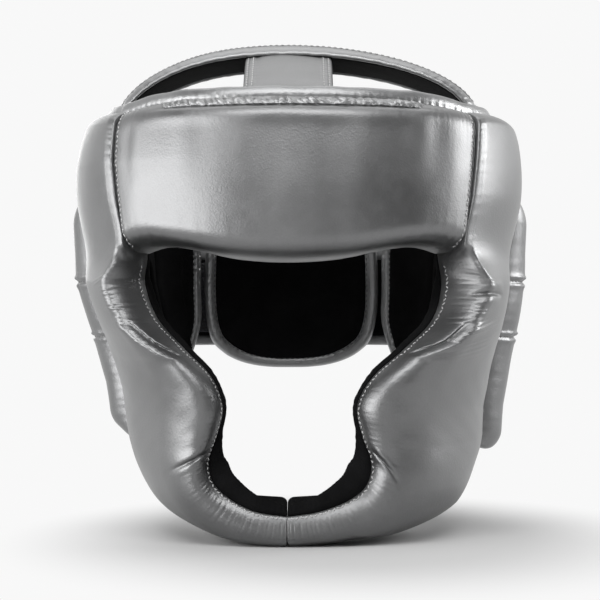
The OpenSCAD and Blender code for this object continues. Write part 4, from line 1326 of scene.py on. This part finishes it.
class HEADGUARD_OT_rear_strap(bpy.types.Operator):
    """Rear strap that closes round the back pad"""
    bl_idname = "headguard.rear_strap"
    bl_label = "Rear strap"

    def execute(self, context):
        bend = strap_bend()
        obj, over = self.piece("Rear_strap", REAR_STRAP_ROOT, REAR_STRAP_HALF, low=2.5,
                               high=4.9, sewn=True)
        settle(obj, bend, ["rear_strap"])
        self.sew(over, bend)
        obj, _ = self.piece("Rear_strap_lining", 84.0, half=23, low=1.1, high=2.3)
        settle(obj, bend, ["rear_strap_lining"], "lining")
        obj, _ = self.piece("Rear_strap_hook_tape", -42.0, half=21, low=0.0, high=1.0)
        settle(obj, "rear_strap", ["rear_strap_hook_patch"], "hook")
        both = join("Rear_strap_binding", [self.binding(-1), self.binding(1)])
        # The binding wears the lit copy of the leather: painted light on a binding that sits in
        # shade
        settle(both, bend, ["rear_strap_binding"], "lit_piping")
        return {"FINISHED"}

    def piece(self, name, root, half, low, high, sewn=False):
        """One layer of the strap from x root to its end, half its width to each side."""
        span = strap_span(root)

        def layer(to):
            def place(a, b):
                z = (2 * ends_close(b, STRAP_CLOSE) - 1) * half
                rim = np.minimum(np.minimum(a, 1 - a) * span, half - np.abs(z))
                h = roll(rim, 1.1)
                if sewn and to == high:
                    h = h - sum(0.15 * bump(rim, row, 0.5) for row in REAR_STRAP_ROWS)
                    h += 0.09 * ripple(a * span, 5.5, 0.9) * np.exp(-rim / 6.0) * smooth(0, 2, rim)
                    h += 0.18 * lump(a * span, z, 19.0, 1.5) * smooth(6, 10, rim)
                return rear_at(mix(root, REAR_STRAP_END, a), z, mix((low + high) / 2, to, h))
            return place

        return grid_object(name, 200, 60, layer(high), layer(low)), layer(high)

    def sew(self, over, bend):
        """Two rows of stitches along each edge of the strap and across its ends."""
        for k, rim in enumerate(REAR_STRAP_ROWS):
            name = f"Rear_strap_stitches_{k}_"
            edge_rows(name, over, REAR_STRAP_HALF, rim, 300, ((-1, "lower"), (1, "upper")), bend)
            far = rim / strap_span(REAR_STRAP_ROOT)
            for a, end in ((far, "root"), (1 - far, "end")):
                thread_row(name + end, over, a, np.linspace(0.08, 0.92, 60), bend)

    def binding(self, side):
        def place(a, b):
            c, d = circle(b)
            return rear_at(mix(84.0, REAR_STRAP_END, a), side * (26.0 + 2.9 * c), 1.7 + 0.65 * d)
        return grid_object("Binding", 160, 14, place)


# Each lamp: its place, width and height in metres, and its watts
LAMPS = {
    "Key": ((-1.38, -0.66, 0.46), (1.85, 1.0), 29),
    "Right": ((1.36, 0.28, 0.62), (0.7, 0.6), 12),
    "Top": ((0.0, -0.78, 1.2), (1.4, 0.65), 14),
    "Overhead": ((0.0, 0.3, 1.3), (1.3, 0.9), 5),
    "Fill": ((0.25, -1.6, 0.40), (1.0, 0.7), 1.2),
    "Rim": ((-0.55, 1.4, 0.42), (0.5, 0.6), 2.5),
}
# Height of the camera and of what the lamps are turned to, and the camera's distance
AIM, CAMERA_AWAY = 0.12, 1.0


class HEADGUARD_OT_stage(bpy.types.Operator):
    """Pale floor, soft lamps and the camera"""
    bl_idname = "headguard.stage"
    bl_label = "Stage"

    def execute(self, context):
        pale = tuple(context.scene.headguard_look.backdrop)
        self.floor(pale)
        self.world(pale)
        for name, (at, size, watts) in LAMPS.items():
            self.lamp(name, at, size, watts)
        cam = bpy.data.cameras.new("Camera")
        cam.sensor_width = 36
        cam.lens = 109.1
        cam.clip_start = 0.05
        # Half a pixel of the 600 across the photograph
        cam.shift_x = 0.5 / 600
        obj = bpy.data.objects.new("Camera", cam)
        obj.location = (0, -CAMERA_AWAY, AIM)
        obj.rotation_euler = (math.pi / 2, 0, 0)
        context.scene.collection.objects.link(obj)
        context.scene.camera = obj
        context.scene.view_settings.view_transform = "Standard"
        return {"FINISHED"}

    def lamp(self, name, at, size, watts):
        light = bpy.data.lights.new(name, "AREA")
        light.shape = "RECTANGLE"
        light.size, light.size_y = size
        light.energy = watts
        obj = bpy.data.objects.new(name, light)
        obj.location = at
        obj.visible_camera = False
        way = Vector((0, 0, AIM)) - Vector(at)
        obj.rotation_euler = way.to_track_quat("-Z", "Y").to_euler()
        bpy.context.scene.collection.objects.link(obj)

    def world(self, pale):
        """A white backdrop for camera, glossy and transmitted rays, with the dim room of the
        camera's side in what the leather mirrors."""
        world = bpy.data.worlds.new("Backdrop")
        bpy.context.scene.world = world
        world.use_nodes = True
        node = node_maker(world.node_tree)
        path = node("LightPath")
        axes = node("SeparateXYZ", (node("TexCoord"), "Generated"))
        fade = node("MapRange", interpolation_type="SMOOTHSTEP", Value=(axes, "Y"),
                    From_Min=-0.1, From_Max=0.8, To_Min=0.09, To_Max=0.9)
        room = node("Background", Color=(1, 1, 1, 1), Strength=(fade, "Result"))
        seen = node("Background", Color=(*pale, 1))
        clear = node("Math", (path, "Is Camera Ray"), (path, "Is Transmission Ray"),
                     operation="MAXIMUM")
        bounced = node("Math", (path, "Is Glossy Ray"), (fade, "Result"), operation="MULTIPLY")
        shown = node("Math", (clear, 0), (bounced, 0), operation="MAXIMUM")
        both = node("MixShader", (shown, 0), (room, 0), (seen, 0))
        node("OutputWorld", (both, 0))

    def floor(self, pale):
        """A floor that glows like the backdrop away from the headguard. Close to it, it is a grey
        of about half the backdrop's colour, which takes the lamps' real shadow and is itself
        painted shade round the headguard and in what the leather mirrors.
        """
        bm = bmesh.new()
        bmesh.ops.create_grid(bm, x_segments=1, y_segments=1, size=6)
        bmesh.ops.translate(bm, vec=(0, 0, -0.0004), verts=bm.verts)
        obj = new_object("Floor", bm)
        mat = bpy.data.materials.new("Pale floor")
        mat.use_nodes = True
        node = node_maker(mat.node_tree)
        path = node("LightPath")
        middle = node("Mapping", (node("TexCoord"), "Object"), Location=(-0.03, 0.08, 0),
                      Scale=(1.2, 1.0, 1.0))
        away = node("VectorMath", (middle, "Vector"), operation="LENGTH")
        fade = node("MapRange", interpolation_type="SMOOTHSTEP", Value=(away, "Value"),
                    From_Min=0.09, From_Max=0.22)
        bounced = node("Math", (path, "Is Glossy Ray"), (path, "Is Transmission Ray"),
                       operation="MAXIMUM")
        shown = node("Math", (path, "Is Camera Ray"), (bounced, 0), operation="MAXIMUM")
        gate = node("Math", (fade, "Result"), (shown, 0), operation="MULTIPLY")
        # Grey of about half the backdrop's colour: real shadow falls on it, and the grey itself is
        # painted shade round the headguard and in the leather's reflection of the floor
        matte = node("BsdfDiffuse", Color=(*scaled(pale, 0.49), 1))
        glow = node("Emission", Color=(*pale, 1))
        both = node("MixShader", (gate, 0), (matte, 0), (glow, 0))
        node("OutputMaterial", (both, 0))
        obj.data.materials.append(mat)


PIECES = (HEADGUARD_OT_stage, HEADGUARD_OT_forehead, HEADGUARD_OT_sides, HEADGUARD_OT_ear_panels,
          HEADGUARD_OT_ear_guards, HEADGUARD_OT_top_edge, HEADGUARD_OT_crown, HEADGUARD_OT_straps,
          HEADGUARD_OT_back, HEADGUARD_OT_wings, HEADGUARD_OT_rear_strap)


class HEADGUARD_PT_panel(bpy.types.Panel):
    """The headguard's pieces, sewing and colours"""
    bl_idname = "HEADGUARD_PT_panel"
    bl_label = "Headguard"
    bl_space_type = "VIEW_3D"
    bl_region_type = "UI"
    bl_category = "Headguard"

    def draw(self, context):
        layout = self.layout
        for group in (context.scene.headguard_sewing, context.scene.headguard_look):
            box = layout.box()
            for name in group.__annotations__:
                box.prop(group, name)
        for piece in PIECES:
            layout.operator(piece.bl_idname)


CLASSES = (HeadguardSewing, HeadguardLook) + PIECES + (HEADGUARD_PT_panel,)


def register():
    for cls in CLASSES:
        bpy.utils.register_class(cls)
    bpy.types.Scene.headguard_sewing = bpy.props.PointerProperty(type=HeadguardSewing)
    bpy.types.Scene.headguard_look = bpy.props.PointerProperty(type=HeadguardLook)


def unregister():
    del bpy.types.Scene.headguard_look
    del bpy.types.Scene.headguard_sewing
    for cls in reversed(CLASSES):
        bpy.utils.unregister_class(cls)


def main():
    register()
    for piece in PIECES:
        family, name = piece.bl_idname.split(".")
        if getattr(getattr(bpy.ops, family), name)() != {"FINISHED"}:
            raise RuntimeError("could not make " + piece.bl_label)


if __name__ == "__main__":
    main()
